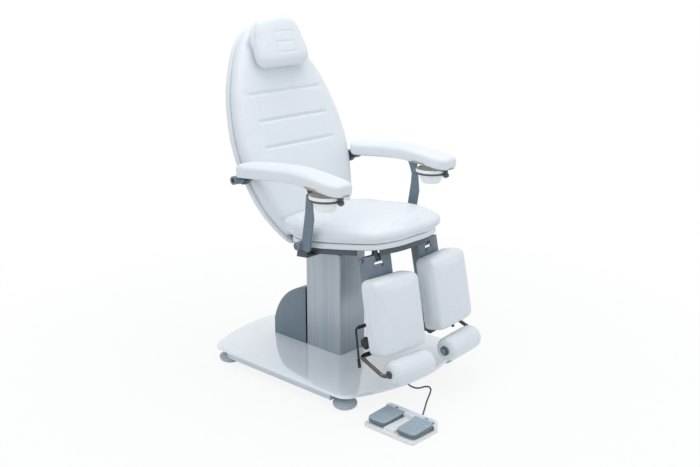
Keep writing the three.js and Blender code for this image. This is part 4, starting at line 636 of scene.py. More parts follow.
def points_of(ob):
    n = len(ob.data.vertices)
    co, no = np.zeros(n * 3, np.float32), np.zeros(n * 3, np.float32)
    ob.data.vertices.foreach_get("co", co)
    ob.data.vertices.foreach_get("normal", no)
    return co.reshape(-1, 3).astype(float), no.reshape(-1, 3).astype(float)


def put_points(ob, co):
    ob.data.vertices.foreach_set("co", co.astype(np.float32).ravel())
    ob.data.update()


def push(ob, shift):
    co, no = points_of(ob)
    put_points(ob, co + shift(co, no))


def remesh(ob, size):
    mod = ob.modifiers.new("remesh", "REMESH")
    mod.mode = "VOXEL"
    mod.voxel_size = size
    return bake(ob)


def relax(ob, rounds):
    mod = ob.modifiers.new("relax", "SMOOTH")
    mod.factor = 0.5
    mod.iterations = rounds
    return bake(ob)


def simulate(ob, cap):
    """Blows the closed skin up a little against its own stretch, then holds it near its starting place."""
    rest = np.array([v.co for v in ob.data.vertices], float)
    mod = ob.modifiers.new("cloth", "CLOTH")
    s = mod.settings
    s.quality = 5
    s.mass = 0.3
    s.tension_stiffness = s.compression_stiffness = 40
    s.shear_stiffness = 20
    s.bending_stiffness = 2
    s.use_pressure = True
    s.uniform_pressure_force = BLOW_PRESSURE
    s.effector_weights.gravity = 0
    mod.collision_settings.use_collision = False
    mod.collision_settings.use_self_collision = False
    mod.point_cache.frame_start = 1
    mod.point_cache.frame_end = BLOW_FRAMES
    for f in range(1, BLOW_FRAMES + 1):
        scene.frame_set(f)
    blown = ob.evaluated_get(bpy.context.evaluated_depsgraph_get())
    me = blown.to_mesh()
    now = np.zeros(len(me.vertices) * 3, np.float32)
    me.vertices.foreach_get("co", now)
    blown.to_mesh_clear()
    ob.modifiers.remove(mod)
    scene.frame_set(1)
    shift = now.reshape(-1, 3).astype(float) - rest
    length = np.linalg.norm(shift, axis=1, keepdims=True)
    put_points(ob, rest + shift * np.minimum(1, cap / np.maximum(length, 1e-9)))


def local_copy(name, node, to_local):
    """A welded copy of a solid in a frame of its own."""
    me = NODES[node].data.copy()
    ob = new_object(name, me)
    me.materials.clear()
    me.transform(to_local)
    bm = bmesh.new()
    bm.from_mesh(me)
    bmesh.ops.remove_doubles(bm, verts=bm.verts, dist=1e-5)
    bmesh.ops.recalc_face_normals(bm, faces=bm.faces)
    bm.to_mesh(me)
    bm.free()
    return ob


def skin_of(ob):
    bm = bmesh.new()
    bm.from_mesh(ob.data)
    bmesh.ops.triangulate(bm, faces=bm.faces)
    bmesh.ops.recalc_face_normals(bm, faces=bm.faces)
    tree = BVHTree.FromBMesh(bm)
    bm.free()
    return tree


def fit(ob, skin, deep, out):
    """Keeps a form between two offsets of its pattern, so that it neither shrinks nor swells away."""
    co, _ = points_of(ob)
    for k, c in enumerate(co):
        hit, no, _, length = skin.find_nearest(Vector(c))
        side = 1 if (Vector(c) - hit).dot(no) >= 0 else -1
        if side * length < -deep:
            co[k] = hit - no * deep
        elif side * length > out:
            co[k] = hit + no * out
    put_points(ob, co)


def soft_form(ob, voxel, cap, smooth, inset=0.0015, deep=0.0010, out=0.003):
    """Remeshes a cushion's pattern, blows it up, holds it to the pattern and makes it finer."""
    skin = skin_of(ob)
    relax(remesh(ob, voxel), smooth)
    push(ob, lambda co, no: -inset * no)
    simulate(ob, cap)
    relax(ob, 1)
    fit(ob, skin, deep, out)
    relax(ob, 2)
    mod = ob.modifiers.new("finer", "SUBSURF")
    mod.levels = mod.render_levels = 1
    bake(ob)
    for p in ob.data.polygons:
        p.use_smooth = True
    return ob


def front_of(ob):
    return points_of(ob)[0][:, 1].min()


def rear_of(ob):
    return points_of(ob)[0][:, 1].max()


def blend_in(a, b, v):
    """Smooth step of v from a to b."""
    t = np.clip((v - a) / (b - a), 0, 1)
    return t * t * (3 - 2 * t)


def even(points, count, closed=False):
    """A line through points, cut into steps of one length."""
    pts = np.array([list(p) for p in points], float)
    if closed:
        pts = np.vstack([pts, pts[:1]])
    d = np.concatenate([[0], np.cumsum(np.linalg.norm(np.diff(pts, axis=0), axis=1))])
    at = np.linspace(0, d[-1], count + 1)[:-1] if closed else np.linspace(0, d[-1], count)
    out = np.stack([np.interp(at, d, pts[:, k]) for k in range(3)], 1)
    if closed:
        for _ in range(3):
            out = (np.roll(out, 1, 0) + out * 2 + np.roll(out, -1, 0)) / 4
    return [Vector(p) for p in out]


def slice_loop(ob, at, normal, count):
    """The longest closed cut of a mesh by a plane, as evenly spaced points."""
    bm = bmesh.new()
    bm.from_mesh(ob.data)
    cut = bmesh.ops.bisect_plane(bm, geom=bm.verts[:] + bm.edges[:] + bm.faces[:], dist=1e-6,
                                 plane_co=at, plane_no=normal)["geom_cut"]
    near = {}
    for e in cut:
        if isinstance(e, bmesh.types.BMEdge):
            for v, w in (e.verts, reversed(e.verts)):
                near.setdefault(v, []).append(w)
    best, seen = [], set()
    for start in near:
        if start in seen:
            continue
        loop, v = [], start
        while v is not None and v not in seen:
            seen.add(v)
            loop.append(v.co.copy())
            v = next((w for w in near[v] if w not in seen), None)
        if len(loop) > len(best):
            best = loop
    bm.free()
    return even(best, count, closed=True)


def on_surface(ob, points, lift):
    """Points moved to the nearest place on a mesh, then lifted along its normal."""
    bm = bmesh.new()
    bm.from_mesh(ob.data)
    tree = BVHTree.FromBMesh(bm)
    hits = [tree.find_nearest(p) for p in points]
    bm.free()
    return [hit[0] + hit[1] * lift for hit in hits]


def groove(ob, paths, depth, width):
    """Sinks the surface along (points, closed) paths, as a seam pulls the skin in."""
    dense = []
    for pts, closed in paths:
        total = sum((a - b).length for a, b in zip(pts, pts[1:]))
        dense += even(pts, max(int(total / 0.0008), 8), closed)
    tree = KDTree(len(dense))
    for i, p in enumerate(dense):
        tree.insert(p, i)
    tree.balance()
    co, _ = points_of(ob)
    away = np.array([tree.find(Vector(c))[2] for c in co])
    push(ob, lambda c, n: -(depth * np.exp(-(away / width) ** 2))[:, None] * n)


def edge_seam(ob, at, normal, count, depth, width):
    """A seam right round a cushion in one plane."""
    loop = slice_loop(ob, at, normal, count)
    groove(ob, [(loop, True)], depth, width)
    return loop


def sewn(ob, lines, depth, width):
    """Seams along open lines on the face of a cushion."""
    lines = [on_surface(ob, line, 0.0) for line in lines]
    groove(ob, [(line, False) for line in lines], depth, width)
    return lines


def welt_along(name, ob, loop):
    return path_piece(name, on_surface(ob, loop, 0.0009), PIPING, LEATHER, Radius=0.0019)


def stitched(name, ob, points, closed=True, **values):
    return path_piece(name, on_surface(ob, points, 0.0001), STITCHES, THREAD, closed, **values)


def shifted(points, *by):
    return [p + Vector(by) for p in points]


def cushion_done(cushion, trims, matrix, body, node):
    """Puts a cushion and its trim in place on their body, gives the cushion its leather and hides the solid
    that it replaces.
    """
    for ob in (cushion, *trims):
        ob.data.transform(matrix)
    dress(cushion, LEATHER, "leather", body, [node])
    for ob in trims:
        dress(ob, None, "leather", body)


def board(name, node, matrix, body):
    """An upholstered board: the slab of the solid, with its edges rolled over."""
    ob = local_copy(name, node, matrix.inverted())
    skin = skin_of(ob)
    relax(remesh(ob, 0.0036), 3)
    fit(ob, skin, 0.0006, 0.0004)
    relax(ob, 2)
    for p in ob.data.polygons:
        p.use_smooth = True
    ob.data.transform(matrix)
    dress(ob, LEATHER, "panel", body, [node])


# ---------------------------------------------------------------- the free cord first
route = spline([(x / 1000, y / 1000 + SHIFT, z / 1000) for x, y, z in CABLE_ROUTE], 10)
cable = tube("foot_switch_cable", route, CABLE_RADIUS, CABLE)
dress(cable, None, "cable", "base", ["pedal_cable"])


def relief(name, tip, direction, length, r0, r1, ribs=7):
    """Ribbed tapered sleeve where the cable leaves a housing."""
    prof = [(0.0031, 0.0)]
    for i in range(ribs):
        z0, z1 = length * i / ribs, length * (i + 0.62) / ribs
        r = r0 + (r1 - r0) * i / ribs
        prof += [(r, z0), (r, z1), (r - 0.0008, z1 + 0.0001), (r - 0.0008, length * (i + 1) / ribs)]
    prof += [(0.0031, length)]
    m = Matrix.Translation(tip) @ Vector(direction).to_track_quat("Z", "Y").to_matrix().to_4x4()
    dress(lathe(name, rounded(prof, 0.0004, 2), BLACK, m, sides=32), None, "black", "base")


relief("cable_relief_chair", route[0] + Vector((0, 0.012, 0)), (0, -1, 0), 0.026, 0.0058, 0.0042)
relief("cable_relief_switch", (-0.2046, -0.579 + SHIFT, 0.011), (1, 0.03, 0), 0.024, 0.0052, 0.0040)

# ---------------------------------------------------------------- rigid nodes that keep their shape
SHARP = math.radians(32)


def keep(node, mat, bevel, segments=2):
    """A solid as it stands, with its finish, its edges broken by a small round."""
    ob = NODES[node]
    ob.data.materials.clear()
    ob.data.materials.append(mat)
    for name in ("custom_normal", "sharp_face", "sharp_edge"):
        att = ob.data.attributes.get(name)
        if att is not None:
            ob.data.attributes.remove(att)
    for p in ob.data.polygons:
        p.use_smooth = True
    weld = ob.modifiers.new("weld", "WELD")
    weld.merge_threshold = 1e-5
    mod = ob.modifiers.new("edges", "BEVEL")
    mod.width = bevel
    mod.segments = segments
    mod.limit_method = "ANGLE"
    mod.angle_limit = SHARP
    mod.miter_outer = "MITER_ARC"
    shade = ob.modifiers.new("shade", "NODES")
    shade.node_group = BY_ANGLE
    shade[socket_id(BY_ANGLE, "Angle")] = SHARP


keep("base_plate", GLOSS_WHITE, 0.0022, 4)
keep("pedal_housing", HOUSING, 0.0014, 3)
for node, mat, bevel in (
        ("column_sleeve", STEEL, 0.0012), ("column_mast", STEEL, 0.0012), ("rear_cover", BLUE_GREY, 0.0012),
        ("lift_motor_tube", DARK_GREY, 0.0008), ("lift_spindle", CHROME, 0.0008),
        ("mast_head", DARK_GREY, 0.0010), ("tilt_pin", SCREW, 0.0008), ("seat_frame", DARK_GREY, 0.0010),
        ("back_frame", DARK_GREY, 0.0012), ("back_hinge_tube", STEEL, 0.0008),
        ("headrest_board", LEATHER, 0.0012), ("cable_gland", BLACK, 0.0008)):
    keep(node, mat, bevel)
for node, mat, bevel in (
        ("base_rail", RAIL, 0.0012), ("arm_carrier", DARK_GREY, 0.0008), ("arm_mount", DARK_GREY, 0.0012),
        ("arm_link", BLUE_GREY, 0.0010), ("leg_hanger", DARK_GREY, 0.0008),
        ("leg_channel", BLUE_GREY, 0.0011), ("leg_slide", DARK_GREY, 0.0010)):
    for n, _ in SIDES:
        keep(f"{node}_{n}", mat, bevel)

# ---------------------------------------------------------------- seat cushion and its board
SEAT_THICKNESS = 0.066
SEAT_HALF_WIDTH = 0.25
SEAT_FRONT_LENGTH = 0.24          # from the middle of its front arc
SEAT_ARC_AT = -0.16
seat = local_copy("seat_upholstery", "seat_cushion", SEAT.inverted())
seat_foot = min(v.co.z for v in seat.data.vertices)


def seat_bulge(co, _):
    """The front and sides swell past the board, most at half height, and the front lip rises."""
    up = np.clip((co[:, 2] - seat_foot) / SEAT_THICKNESS, 0, 1)
    belly = np.sin(np.pi * np.clip(up * 1.02, 0, 1)) ** 0.55
    fore = blend_in(0.02, 0.30, -co[:, 1])
    forward = np.minimum(co[:, 1] - SEAT_ARC_AT, 0)
    away = np.stack([co[:, 0] / SEAT_HALF_WIDTH, forward / SEAT_FRONT_LENGTH], 1)
    length = np.maximum(np.linalg.norm(away, axis=1), 1e-6)
    edge = blend_in(0.55, 0.95, length)
    grow = belly * edge * (0.004 + 0.016 * fore)
    inside = np.clip((1.04 - length) / 0.42, 0, 1)
    lip = up ** 2 * (0.006 * fore - (0.007 + 0.010 * fore) * (1 - inside) ** 2)
    return np.stack([away[:, 0] / length * grow, away[:, 1] / length * grow, lip], 1)


def onto_board(co, _):
    out = np.zeros_like(co)
    out[:, 2] = np.maximum(seat_foot - co[:, 2], 0)
    return out


push(seat, seat_bulge)
soft_form(seat, voxel=0.006, cap=0.006, smooth=4)
loop = edge_seam(seat, (0, 0, seat_foot + 0.017), (0, 0, 1), count=240, depth=0.0022, width=0.0035)
push(seat, onto_board)
piping = welt_along("seat_piping", seat, loop)
stitches = stitched("seat_stitching", seat, shifted(loop, 0, 0, 0.0052))
cushion_done(seat, (piping, stitches), SEAT, "seat", "seat_cushion")
board("seat_board_cover", "seat_panel", SEAT, "seat")


# ---------------------------------------------------------------- backrest
def across(y, z, half, n=60):
    return [Vector((-half + 2 * half * i / (n - 1), y, z)) for i in range(n)]


def upright(x, y, z0, z1, n=30):
    return [Vector((x, y, z0 + (z1 - z0) * i / (n - 1))) for i in range(n)]


back = local_copy("back_upholstery", "back_cushion", BACK.inverted())
soft_form(back, voxel=0.006, cap=0.006, smooth=4)
face, rear = front_of(back), rear_of(back)
side_seam = CHANNEL_HALF - 0.022
lines = sewn(back, [across(face, z, CHANNEL_HALF) for z in CHANNELS], depth=0.0036, width=0.0056)
sides = [upright(s * side_seam, face, a + 0.008, b - 0.008)
         for s in (-1, 1) for a, b in zip(CHANNELS, CHANNELS[1:])]
lines += sewn(back, sides, depth=0.0016, width=0.0034)
loop = edge_seam(back, (0, rear - 0.017, 0), (0, 1, 0), count=420, depth=0.0022, width=0.0035)
piping = welt_along("back_piping", back, loop)
rows = [stitched("row_edge", back, shifted(loop, 0, -0.0052, 0))]
rows += [stitched(f"row_{k}", back, even(line, 160), closed=False) for k, line in enumerate(lines)]
cushion_done(back, (piping, join("back_stitching", *rows)), BACK, "backrest", "back_cushion")
board("back_board_cover", "back_panel", BACK, "backrest")

# ---------------------------------------------------------------- headrest
PANEL_HALF = 0.050
PANEL_HEIGHTS = (0.046, 0.086, 0.126)
head = local_copy("headrest_upholstery", "headrest_cushion", BACK.inverted())
head_rear = rear_of(head)


def head_swell(co, _):
    """A thicker pad, wider at its foot than at its top, that rises a little past its board."""
    fore = head_rear - co[:, 1]
    up = co[:, 2] - HEAD_FOOT
    round_x = 1 - np.clip(np.abs(co[:, 0]) / 0.14, 0, 1) ** 2
    chin = 0.29 * (1 - blend_in(0.0, 0.130, up)) - 0.13
    wider = np.maximum(chin, 0) * blend_in(-0.001, 0.004, fore)
    narrower = np.minimum(chin, 0) * blend_in(0.004, 0.022, fore)
    return np.stack([co[:, 0] * (wider + narrower), -fore * (0.04 + 0.12 * round_x),
                     up * 0.040 * blend_in(0.003, 0.03, fore)], 1)


def fill_dents(ob, heights, half):
    """Levels the solid's coarse seam dents, so that only the sewn lines show."""
    skin = skin_of(ob)
    co, no = points_of(ob)
    for c, n in zip(co, no):
        for z in heights:
            if abs(c[2] - z) < half and n[1] < -0.3:
                starts = [Vector((c[0], -1, z + e * half)) for e in (-1, 1)]
                hits = [skin.ray_cast(p, Vector((0, 1, 0)))[0] for p in starts]
                if None not in hits:
                    f = (c[2] - z + half) / (2 * half)
                    c[1] = min(c[1], hits[0].y * (1 - f) + hits[1].y * f)
    put_points(ob, co)


remesh(head, 0.003)
fill_dents(head, [HEAD_FOOT + d for d in HEAD_DENTS], 0.011)
relax(head, 4)
push(head, head_swell)
soft_form(head, voxel=0.0045, cap=0.005, smooth=4)
face, rear = front_of(head), rear_of(head)
heights = [HEAD_FOOT + d for d in PANEL_HEIGHTS]
lines = [across(face, z, PANEL_HALF) for z in heights]
lines += [upright(s * PANEL_HALF, face, heights[0], heights[-1]) for s in (-1, 1)]
lines = sewn(head, lines, depth=0.0018, width=0.0032)
loop = edge_seam(head, (0, rear - 0.012, 0), (0, 1, 0), count=200, depth=0.0018, width=0.003)
rows = [stitched("row_edge", head, shifted(loop, 0, -0.0045, 0))]
rows += [stitched(f"row_{k}", head, even(line, 60), closed=False, Spacing=0.0034)
         for k, line in enumerate(lines)]
cushion_done(head, [join("headrest_stitching", *rows)], BACK, "headrest", "headrest_cushion")

# ---------------------------------------------------------------- armrests
ARM_UNDERSIDE = [(14, 21), (78, 26), (150, 33), (225, 39), (303, 42),
                 (370, 39), (430, 34), (480, 29), (520, 25)]
ARM_HALF = 0.052
ARM_OUTWARD = 0.026               # the rear end bends this far outwards
ARM_BEND = 0.060                  # over this length
PLY_TOP, PLY_BOTTOM = -0.0012, -0.0078
under = spline([(0, -a / 1000, b / 1000) for a, b in ARM_UNDERSIDE], 14)
arm_length = sum((a - b).length for a, b in zip(under, under[1:]))


def mirrored(name, ob):
    me = ob.data.copy()
    me.transform(Matrix.Diagonal((-1, 1, 1, 1)))
    me.flip_normals()
    return new_object(name, me)


def end_round(d, length, r):
    """Rounding of a form's two ends, 0 at the tip and 1 past the radius."""
    k = min(d, length - d) / r
    return 1.0 if k >= 1 else math.sqrt(max(1 - (1 - k) ** 2, 0))


def squared(v, power):
    """A sine or cosine pulled towards a square's, the more the smaller the power."""
    return math.copysign(abs(v) ** power, v)


def arm_rings(top, bottom, inset, high_power, low_power, tip):
    """Rings along the armrest, between two heights over its underside line."""
    rings, done = [], 0.0
    for k, p in enumerate(under):
        before, after = under[max(k - 1, 0)], under[min(k + 1, len(under) - 1)]
        done += (p - before).length
        t = (after - before).normalized()
        up = Vector((0, t.z, -t.y))
        fore = -p.y
        plan = end_round(done, arm_length, 0.050)
        bend = max((ARM_BEND - fore) / ARM_BEND, 0) * ARM_OUTWARD
        half = min(ARM_HALF * (0.40 + 0.60 * plan), 0.054 - bend) - inset(fore)
        roll = end_round(done, arm_length, 0.020)
        taper = max((done / arm_length - 0.6) / 0.4, 0)
        hi = (top - (top - tip) * taper) * (0.72 + 0.28 * roll)
        lo = bottom(fore)
        ring = []
        for i in range(64):
            c, d = math.cos(2 * math.pi * i / 64), math.sin(2 * math.pi * i / 64)
            w = high_power if d > 0 else low_power
            x = half * squared(c, w)
            h = (hi + lo) / 2 + (hi - lo) / 2 * squared(d, w)
            crown = 0.003 * (1 - (x / max(half, 1e-4)) ** 2) if d > 0 and tip > 0 else 0
            ring.append(Vector((ARM_X + bend + x, p.y, p.z)) + up * (h + crown * plan))
        rings.append(ring)
    return rings


def bare(fore):
    """1 along the stretch near the bowl where the cover is cut back to the plywood, 0 elsewhere."""
    return float(blend_in(0.356, 0.376, np.array(fore)) - blend_in(0.418, 0.440, np.array(fore)))


def cover_foot(fore):
    return -0.0086 + 0.0056 * bare(fore)


def ply_inset(fore):
    return 0.0085 - 0.0063 * bare(fore)


rings = arm_rings(0.040, cover_foot, lambda fore: 0.0, high_power=0.54, low_power=0.22, tip=0.034)
arm = ring_mesh("arm_upholstery_left", rings, LEATHER, caps=True)
soft_form(arm, voxel=0.0038, cap=0.003, smooth=2, inset=0.001, deep=0.0006, out=0.0022)
rings = arm_rings(PLY_TOP, lambda fore: PLY_BOTTOM, ply_inset, high_power=0.16, low_power=0.16, tip=PLY_TOP)
ply = ring_mesh("arm_ply_left", rings, PLYWOOD, caps=True, angle=40)
for source, kind, node in ((arm, "leather", "arm_pad"), (ply, "plywood", "arm_board")):
    other = mirrored(source.name.replace("_left", "_right"), source)
    for ob, n in ((source, "left"), (other, "right")):
        ob.data.transform(ARM)
        dress(ob, LEATHER if kind == "leather" else PLYWOOD, kind, f"armrest_{n}", [f"{node}_{n}"])


def gusset(n, s, r=0.0115, top=0.0265):
    """Where the armrest's ear runs into its carrier."""
    y = LINK_PIVOT[0] - EYE_AT[0] - AXLE_FORE
    z = LINK_PIVOT[1] + EYE_AT[1] - AXLE_UP
    angles = [math.radians(a) for a in range(-200, 1, 10)]
    loop = [(y + r * math.cos(a), z + r * math.sin(a)) for a in angles]
    loop += [(y + 0.0165, z + 0.016), (y + 0.026, top - 0.004), (y + 0.044, top), (y + 0.044, top + 0.003),
             (y - 0.018, top + 0.006), (y - 0.0165, top - 0.004)]
    drawn = Matrix(((0, 1, 0), (0, 0, 1), (1, 0, 0))).transposed().to_4x4()
    m = ARM @ move(s * 0.2795, 0, 0) @ drawn
    dress(plate(f"arm_gusset_{n}", [loop], 0.0062, 0.0008, BLUE_GREY, m), None, "blue_grey", f"armrest_{n}")


for n, s in SIDES:
    gusset(n, s)

# ---------------------------------------------------------------- calf pads
CALF_HALF = 0.106
CALF_DEPTH = 0.089
CALF_LENGTH = 0.272
CALF_TOP = 0.062
CALF_STAGGER = 0.018              # the left pad starts this much higher
leg_inverse = LEG["left"].inverted()
calf_rear = min(-(leg_inverse @ v.co).y for v in NODES["calf_pad_left"].data.vertices)


def calf_form(name, steps=40, sides=96):
    """Block cushion: a crowned front face sewn to flat sides, with tighter corners than a pillow."""
    rings = []
    for k in range(steps + 1):
        d = CALF_LENGTH * (1 - math.cos(math.pi * k / steps)) / 2
        roll = end_round(d, CALF_LENGTH, 0.026)
        half = CALF_HALF - 0.024 * (1 - roll)
        fore = CALF_DEPTH * (0.70 + 0.30 * roll)
        mid = 1 - (2 * d / CALF_LENGTH - 1) ** 2
        ring = []
        for i in range(sides):
            c, q = math.cos(2 * math.pi * i / sides), math.sin(2 * math.pi * i / sides)
            x = half * squared(c, 0.26)
            h = fore / 2 + fore / 2 * squared(q, 0.27 if q > 0 else 0.16)
            crown = 0.012 * (1 - (x / half) ** 2) * mid if q > 0 else 0
            x *= 1 + 0.03 * mid * math.sin(math.pi * min(h / fore, 1))
            ring.append((x, -calf_rear - h - crown, -CALF_TOP - d))
        rings.append(ring)
    return ring_mesh(name, rings, LEATHER, caps=True)


calf = calf_form("calf_upholstery_right")
soft_form(calf, voxel=0.005, cap=0.0045, smooth=2, deep=0.0008, out=0.0028)
loop = edge_seam(calf, (0, -calf_rear - 0.012, 0), (0, 1, 0), count=260, depth=0.0012, width=0.0030)
seam = stitched("calf_stitching_right", calf, loop)
other = mirrored("calf_upholstery_left", calf), mirrored("calf_stitching_left", seam)
for ob in other:
    ob.data.transform(move(0, 0, CALF_STAGGER))
for n, (pad, trim) in (("right", (calf, seam)), ("left", other)):
    cushion_done(pad, [trim], LEG[n], f"leg_slide_{n}", f"calf_pad_{n}")


# ---------------------------------------------------------------- foot rollers with gathered ends
def roller(name, n, seed, r=0.045, end=0.026):
    half = ROLLER_HALF
    prof = []
    for k in range(26):
        a = (math.pi / 2) * k / 25
        prof.append((r * (0.24 + 0.76 * math.sin(a) ** 0.8), -half + end * (1 - math.cos(a)) ** 1.1))
    tail = [(a, -b) for a, b in reversed(prof)]
    for k in range(1, 30):
        barrel = r * (1 + 0.012 * math.sin(math.pi * k / 30))
        prof.append((barrel, -half + end + (2 * (half - end)) * k / 30))
    prof = [(0.0085, -half + 0.004), (0.0095, -half + 0.001)] + prof + tail
    prof += [(0.0095, half - 0.001), (0.0085, half - 0.004)]

    def gathers(a, z):
        edge = min(max((abs(z) - (half - 0.040)) / 0.040, 0), 1)
        side = 1 if z > 0 else -1
        v = 0
        for j, (folds, height) in enumerate(((13, 0.5), (17, 0.35), (23, 0.25), (9, 0.2))):
            v += math.sin(folds * a + seed * 1.7 * (j + 1) + side * j) * height
        flat = noise.noise(Vector((math.cos(a) * 1.4, math.sin(a) * 1.4, z * 18 + seed)))
        return 1 + 0.030 * edge ** 1.5 * v * (1 - 0.6 * max(edge - 0.85, 0) / 0.15) + 0.006 * flat
    ob = lathe(name, prof, LEATHER, None, sides=192, angle=80, wave=gathers)
    ob.data.transform(LEG[n] @ move(0, -ROLLER_FRONT[n], -ROLLER_DOWN) @ turn(90, "Y"))
    dress(ob, LEATHER, "leather", f"roller_{n}", [f"foot_roller_{n}"])


roller("roller_cover_right", "right", 1)
roller("roller_cover_left", "left", 2)

# ---------------------------------------------------------------- turned and bent pieces of metal
ROUND = 48                        # points round a screw or a nut


def circle(r, z):
    return around(r, z, ROUND)


def hexagon(r, z):
    """Points on a hexagon that is 2 r across its flats."""
    out = []
    for k in range(ROUND):
        a = 2 * math.pi * k / ROUND
        d = r / math.cos((a + math.pi / 6) % (math.pi / 3) - math.pi / 6)
        out.append((d * math.cos(a), d * math.sin(a), z))
    return out


def cap_screw(name, r, h, mat, matrix):
    """Round screw head with a hexagon socket."""
    rings = [circle(r * a, h * b) for a, b in ((1, 0), (1, 0.72), (0.93, 0.93), (0.84, 1))]
    rings += [hexagon(r * a, h * b) for a, b in ((0.50, 1), (0.47, 0.94), (0.46, 0.3))]
    return ring_mesh(name, rings + [circle(0.0001, h * 0.22)], mat, matrix, angle=30)


def hex_nut(name, r, h, mat, matrix, bore):
    """Hexagon nut with turned corners and a bore."""
    rings = [circle(bore, 0), circle(r * 0.96, 0)]
    rings += [hexagon(r * a, h * b) for a, b in ((0.99, 0.12), (1, 0.16), (1, 0.84), (0.99, 0.88))]
    return ring_mesh(name, rings + [circle(r * 0.96, h), circle(bore, h)], mat, matrix, angle=30)


def thread_profile(r, z0, z1, pitch, depth):
    n = max(int((z1 - z0) / pitch), 1)
    step = (z1 - z0) / n
    out = []
    for k in range(n):
        out += [(r - depth, z0 + k * step), (r, z0 + (k + 0.5) * step)]
    return out + [(r - depth, z1)]


PAD = [(0, 0), (31, 0), (41.5, 7), (44, 13), (44, 19.5), (43.4, 20.4), (30, 20.4)]
DOME = [(30, 20.6), (43.2, 20.6), (43.0, 22.2), (31, 28), (20, 32), (13, 33), (10, 33), (10, 31.5), (0, 31.5)]
WASHER = [(6, 52.6), (18.4, 52.6), (18.8, 53), (18.8, 53.7), (6, 53.7)]


def levelling_foot(name, at):
    stem = [(0, 0.031)] + thread_profile(0.0087, 0.0315, 0.0445, 0.00175, 0.0008) + [(0, 0.0445)]
    parts = [turned("pad", PAD, 0.002, RUBBER, at, 72), turned("dome", DOME, 0.0014, RUBBER, at, 72),
             lathe("stem", stem, SCREW, at, 32),
             hex_nut("nut", 0.0165, 0.0085, DARK_GREY, at @ move(0, 0, 0.0442), 0.006),
             turned("washer", WASHER, 0.0002, SCREW, at, 48, 2)]
    dress(join(f"{name}_turned", *parts), None, "dark_grey", "base", [name])


for n, s in SIDES:
    for end, e in (("front", -1), ("rear", 1)):
        levelling_foot(f"levelling_foot_{end}_{n}", CHAIR @ move(s * FOOT_X, e * FOOT_Y, 0))

AXLE = [(0, 272.4), (16, 272.4), (16, 276), (15.4, 276.5), (15.4, 277.6), (16, 278.1), (16, 339), (15, 340),
        (10, 340), (9, 339), (9, 328.4), (0, 328.4)]
for n, s in SIDES:
    m = ARM @ turn(90 * s, "Y")
    parts = [turned("shell", AXLE, 0.0007, BLUE_GREY, m, 64, 3),
             cap_screw("plug", 0.0075, 0.005, SCREW, m @ move(0, 0, 0.3284))]
    dress(join(f"arm_axle_{n}_turned", *parts), None, "blue_grey", "backrest", [f"arm_axle_{n}"])

# ---------------------------------------------------------------- bowls hanging in their swivel rings
BOWL_WALL = [(0, -44.6), (27, -44.6), (28.5, -45.7), (32.5, -45.7), (36, -41.5), (53.2, -3.5), (53.6, -1.7),
             (59.2, -1.7), (60, -1.1), (60, 9.4), (59.2, 10.3), (57.8, 10.3), (56.6, 9.4), (50.6, -0.5),
             (33.4, -38.5), (27, -42.4), (0, -42.7)]
BAND = [(54.6, -2.1), (54.6, -8.9), (60.9, -8.9), (60.9, -2.1), (54.6, -2.1)]
HUB = [(8.3, -12.9), (11, -12.9), (12, -12), (12, -3), (11, -2.1), (8.3, -2.1), (8.3, -12.9)]
HUB_FORE = 0.0695                 # the ring's pivot in front of the bowl's middle
for n, s in SIDES:
    at = ARM @ move(s * ARM_X, -BOWL_FORE, 0)
    hub_at = at @ move(0, -HUB_FORE, 0)
    bowl = turned(f"manicure_bowl_{n}_moulded", BOWL_WALL, 0.0022, BOWL, at, 96, 5)
    dress(bowl, None, "bowl", f"bowl_{n}", [f"manicure_bowl_{n}"])
    parts = [turned("band", BAND, 0.0012, DARK_GREY, at, 96),
             turned("hub", HUB, 0.0005, DARK_GREY, hub_at, 48, 2)]
    for side in (-1, 1):
        lug = [(side * 0.0035, -0.0635, -0.0055), (side * 0.007, -0.0600, -0.0055)]
        parts.append(tube("lug", lug, 0.0030, DARK_GREY, at, 12))
    parts.append(cap_screw("pivot", 0.0072, 0.0034, SCREW, hub_at @ move(0, 0, -0.0143) @ turn(180, "X")))
    dress(join(f"bowl_ring_{n}_formed", *parts), None, "dark_grey", f"bowl_{n}", [f"bowl_ring_{n}"])

# ---------------------------------------------------------------- release levers and clamp knobs
LEVER_OUT = CHANNEL_SIDE + 0.062
GRIP = [(0, -4), (4.6, -4), (6, -2.6), (6, 3)]
GRIP += [q for z in range(4, 24, 4) for q in ((6, z), (5.5, z + 0.8), (5.5, z + 2.2), (6, z + 3))]
GRIP += [(6, 27), (5, 28.4), (4, 28.4)]


def release_lever(n, s, ribs=6):
    leg = LEG[n]
    axle, tip_at = (s * LEVER_OUT, *LEVER_AXLE), (s * (LEVER_OUT + 0.002), *LEVER_TIP)
    wire = tube("wire", bent([(s * 0.0486, *LEVER_AXLE), axle, tip_at], 0.013, 12), 0.004, BLACK, leg, 20)
    tip = turned("tip", GRIP, 0.0004, BLACK, leg @ Matrix.Translation(tip_at), 32, 2)
    start = CHANNEL_SIDE + 0.0045
    length = LEVER_OUT - 0.0125 - start
    prof = [(0.004, 0), (0.0058, 0.0003)]
    for k in range(ribs):
        a, b = length * (k + 0.15) / ribs, length * (k + 0.85) / ribs
        prof += [(0.0064, a), (0.0064, b), (0.0059, b + 0.0004), (0.0059, length * (k + 1.11) / ribs)]
    prof = prof[:-1] + [(0.0058, length - 0.0003), (0.004, length)]
    m = leg @ move(s * start, *LEVER_AXLE) @ turn(90 * s, "Y")
    sleeve = lathe("sleeve", rounded(prof, 0.0004, 2), BLACK, m, sides=32)
    lever = join(f"release_lever_{n}_bent", wire, tip, sleeve)
    dress(lever, None, "black", f"lever_{n}", [f"release_lever_{n}"])


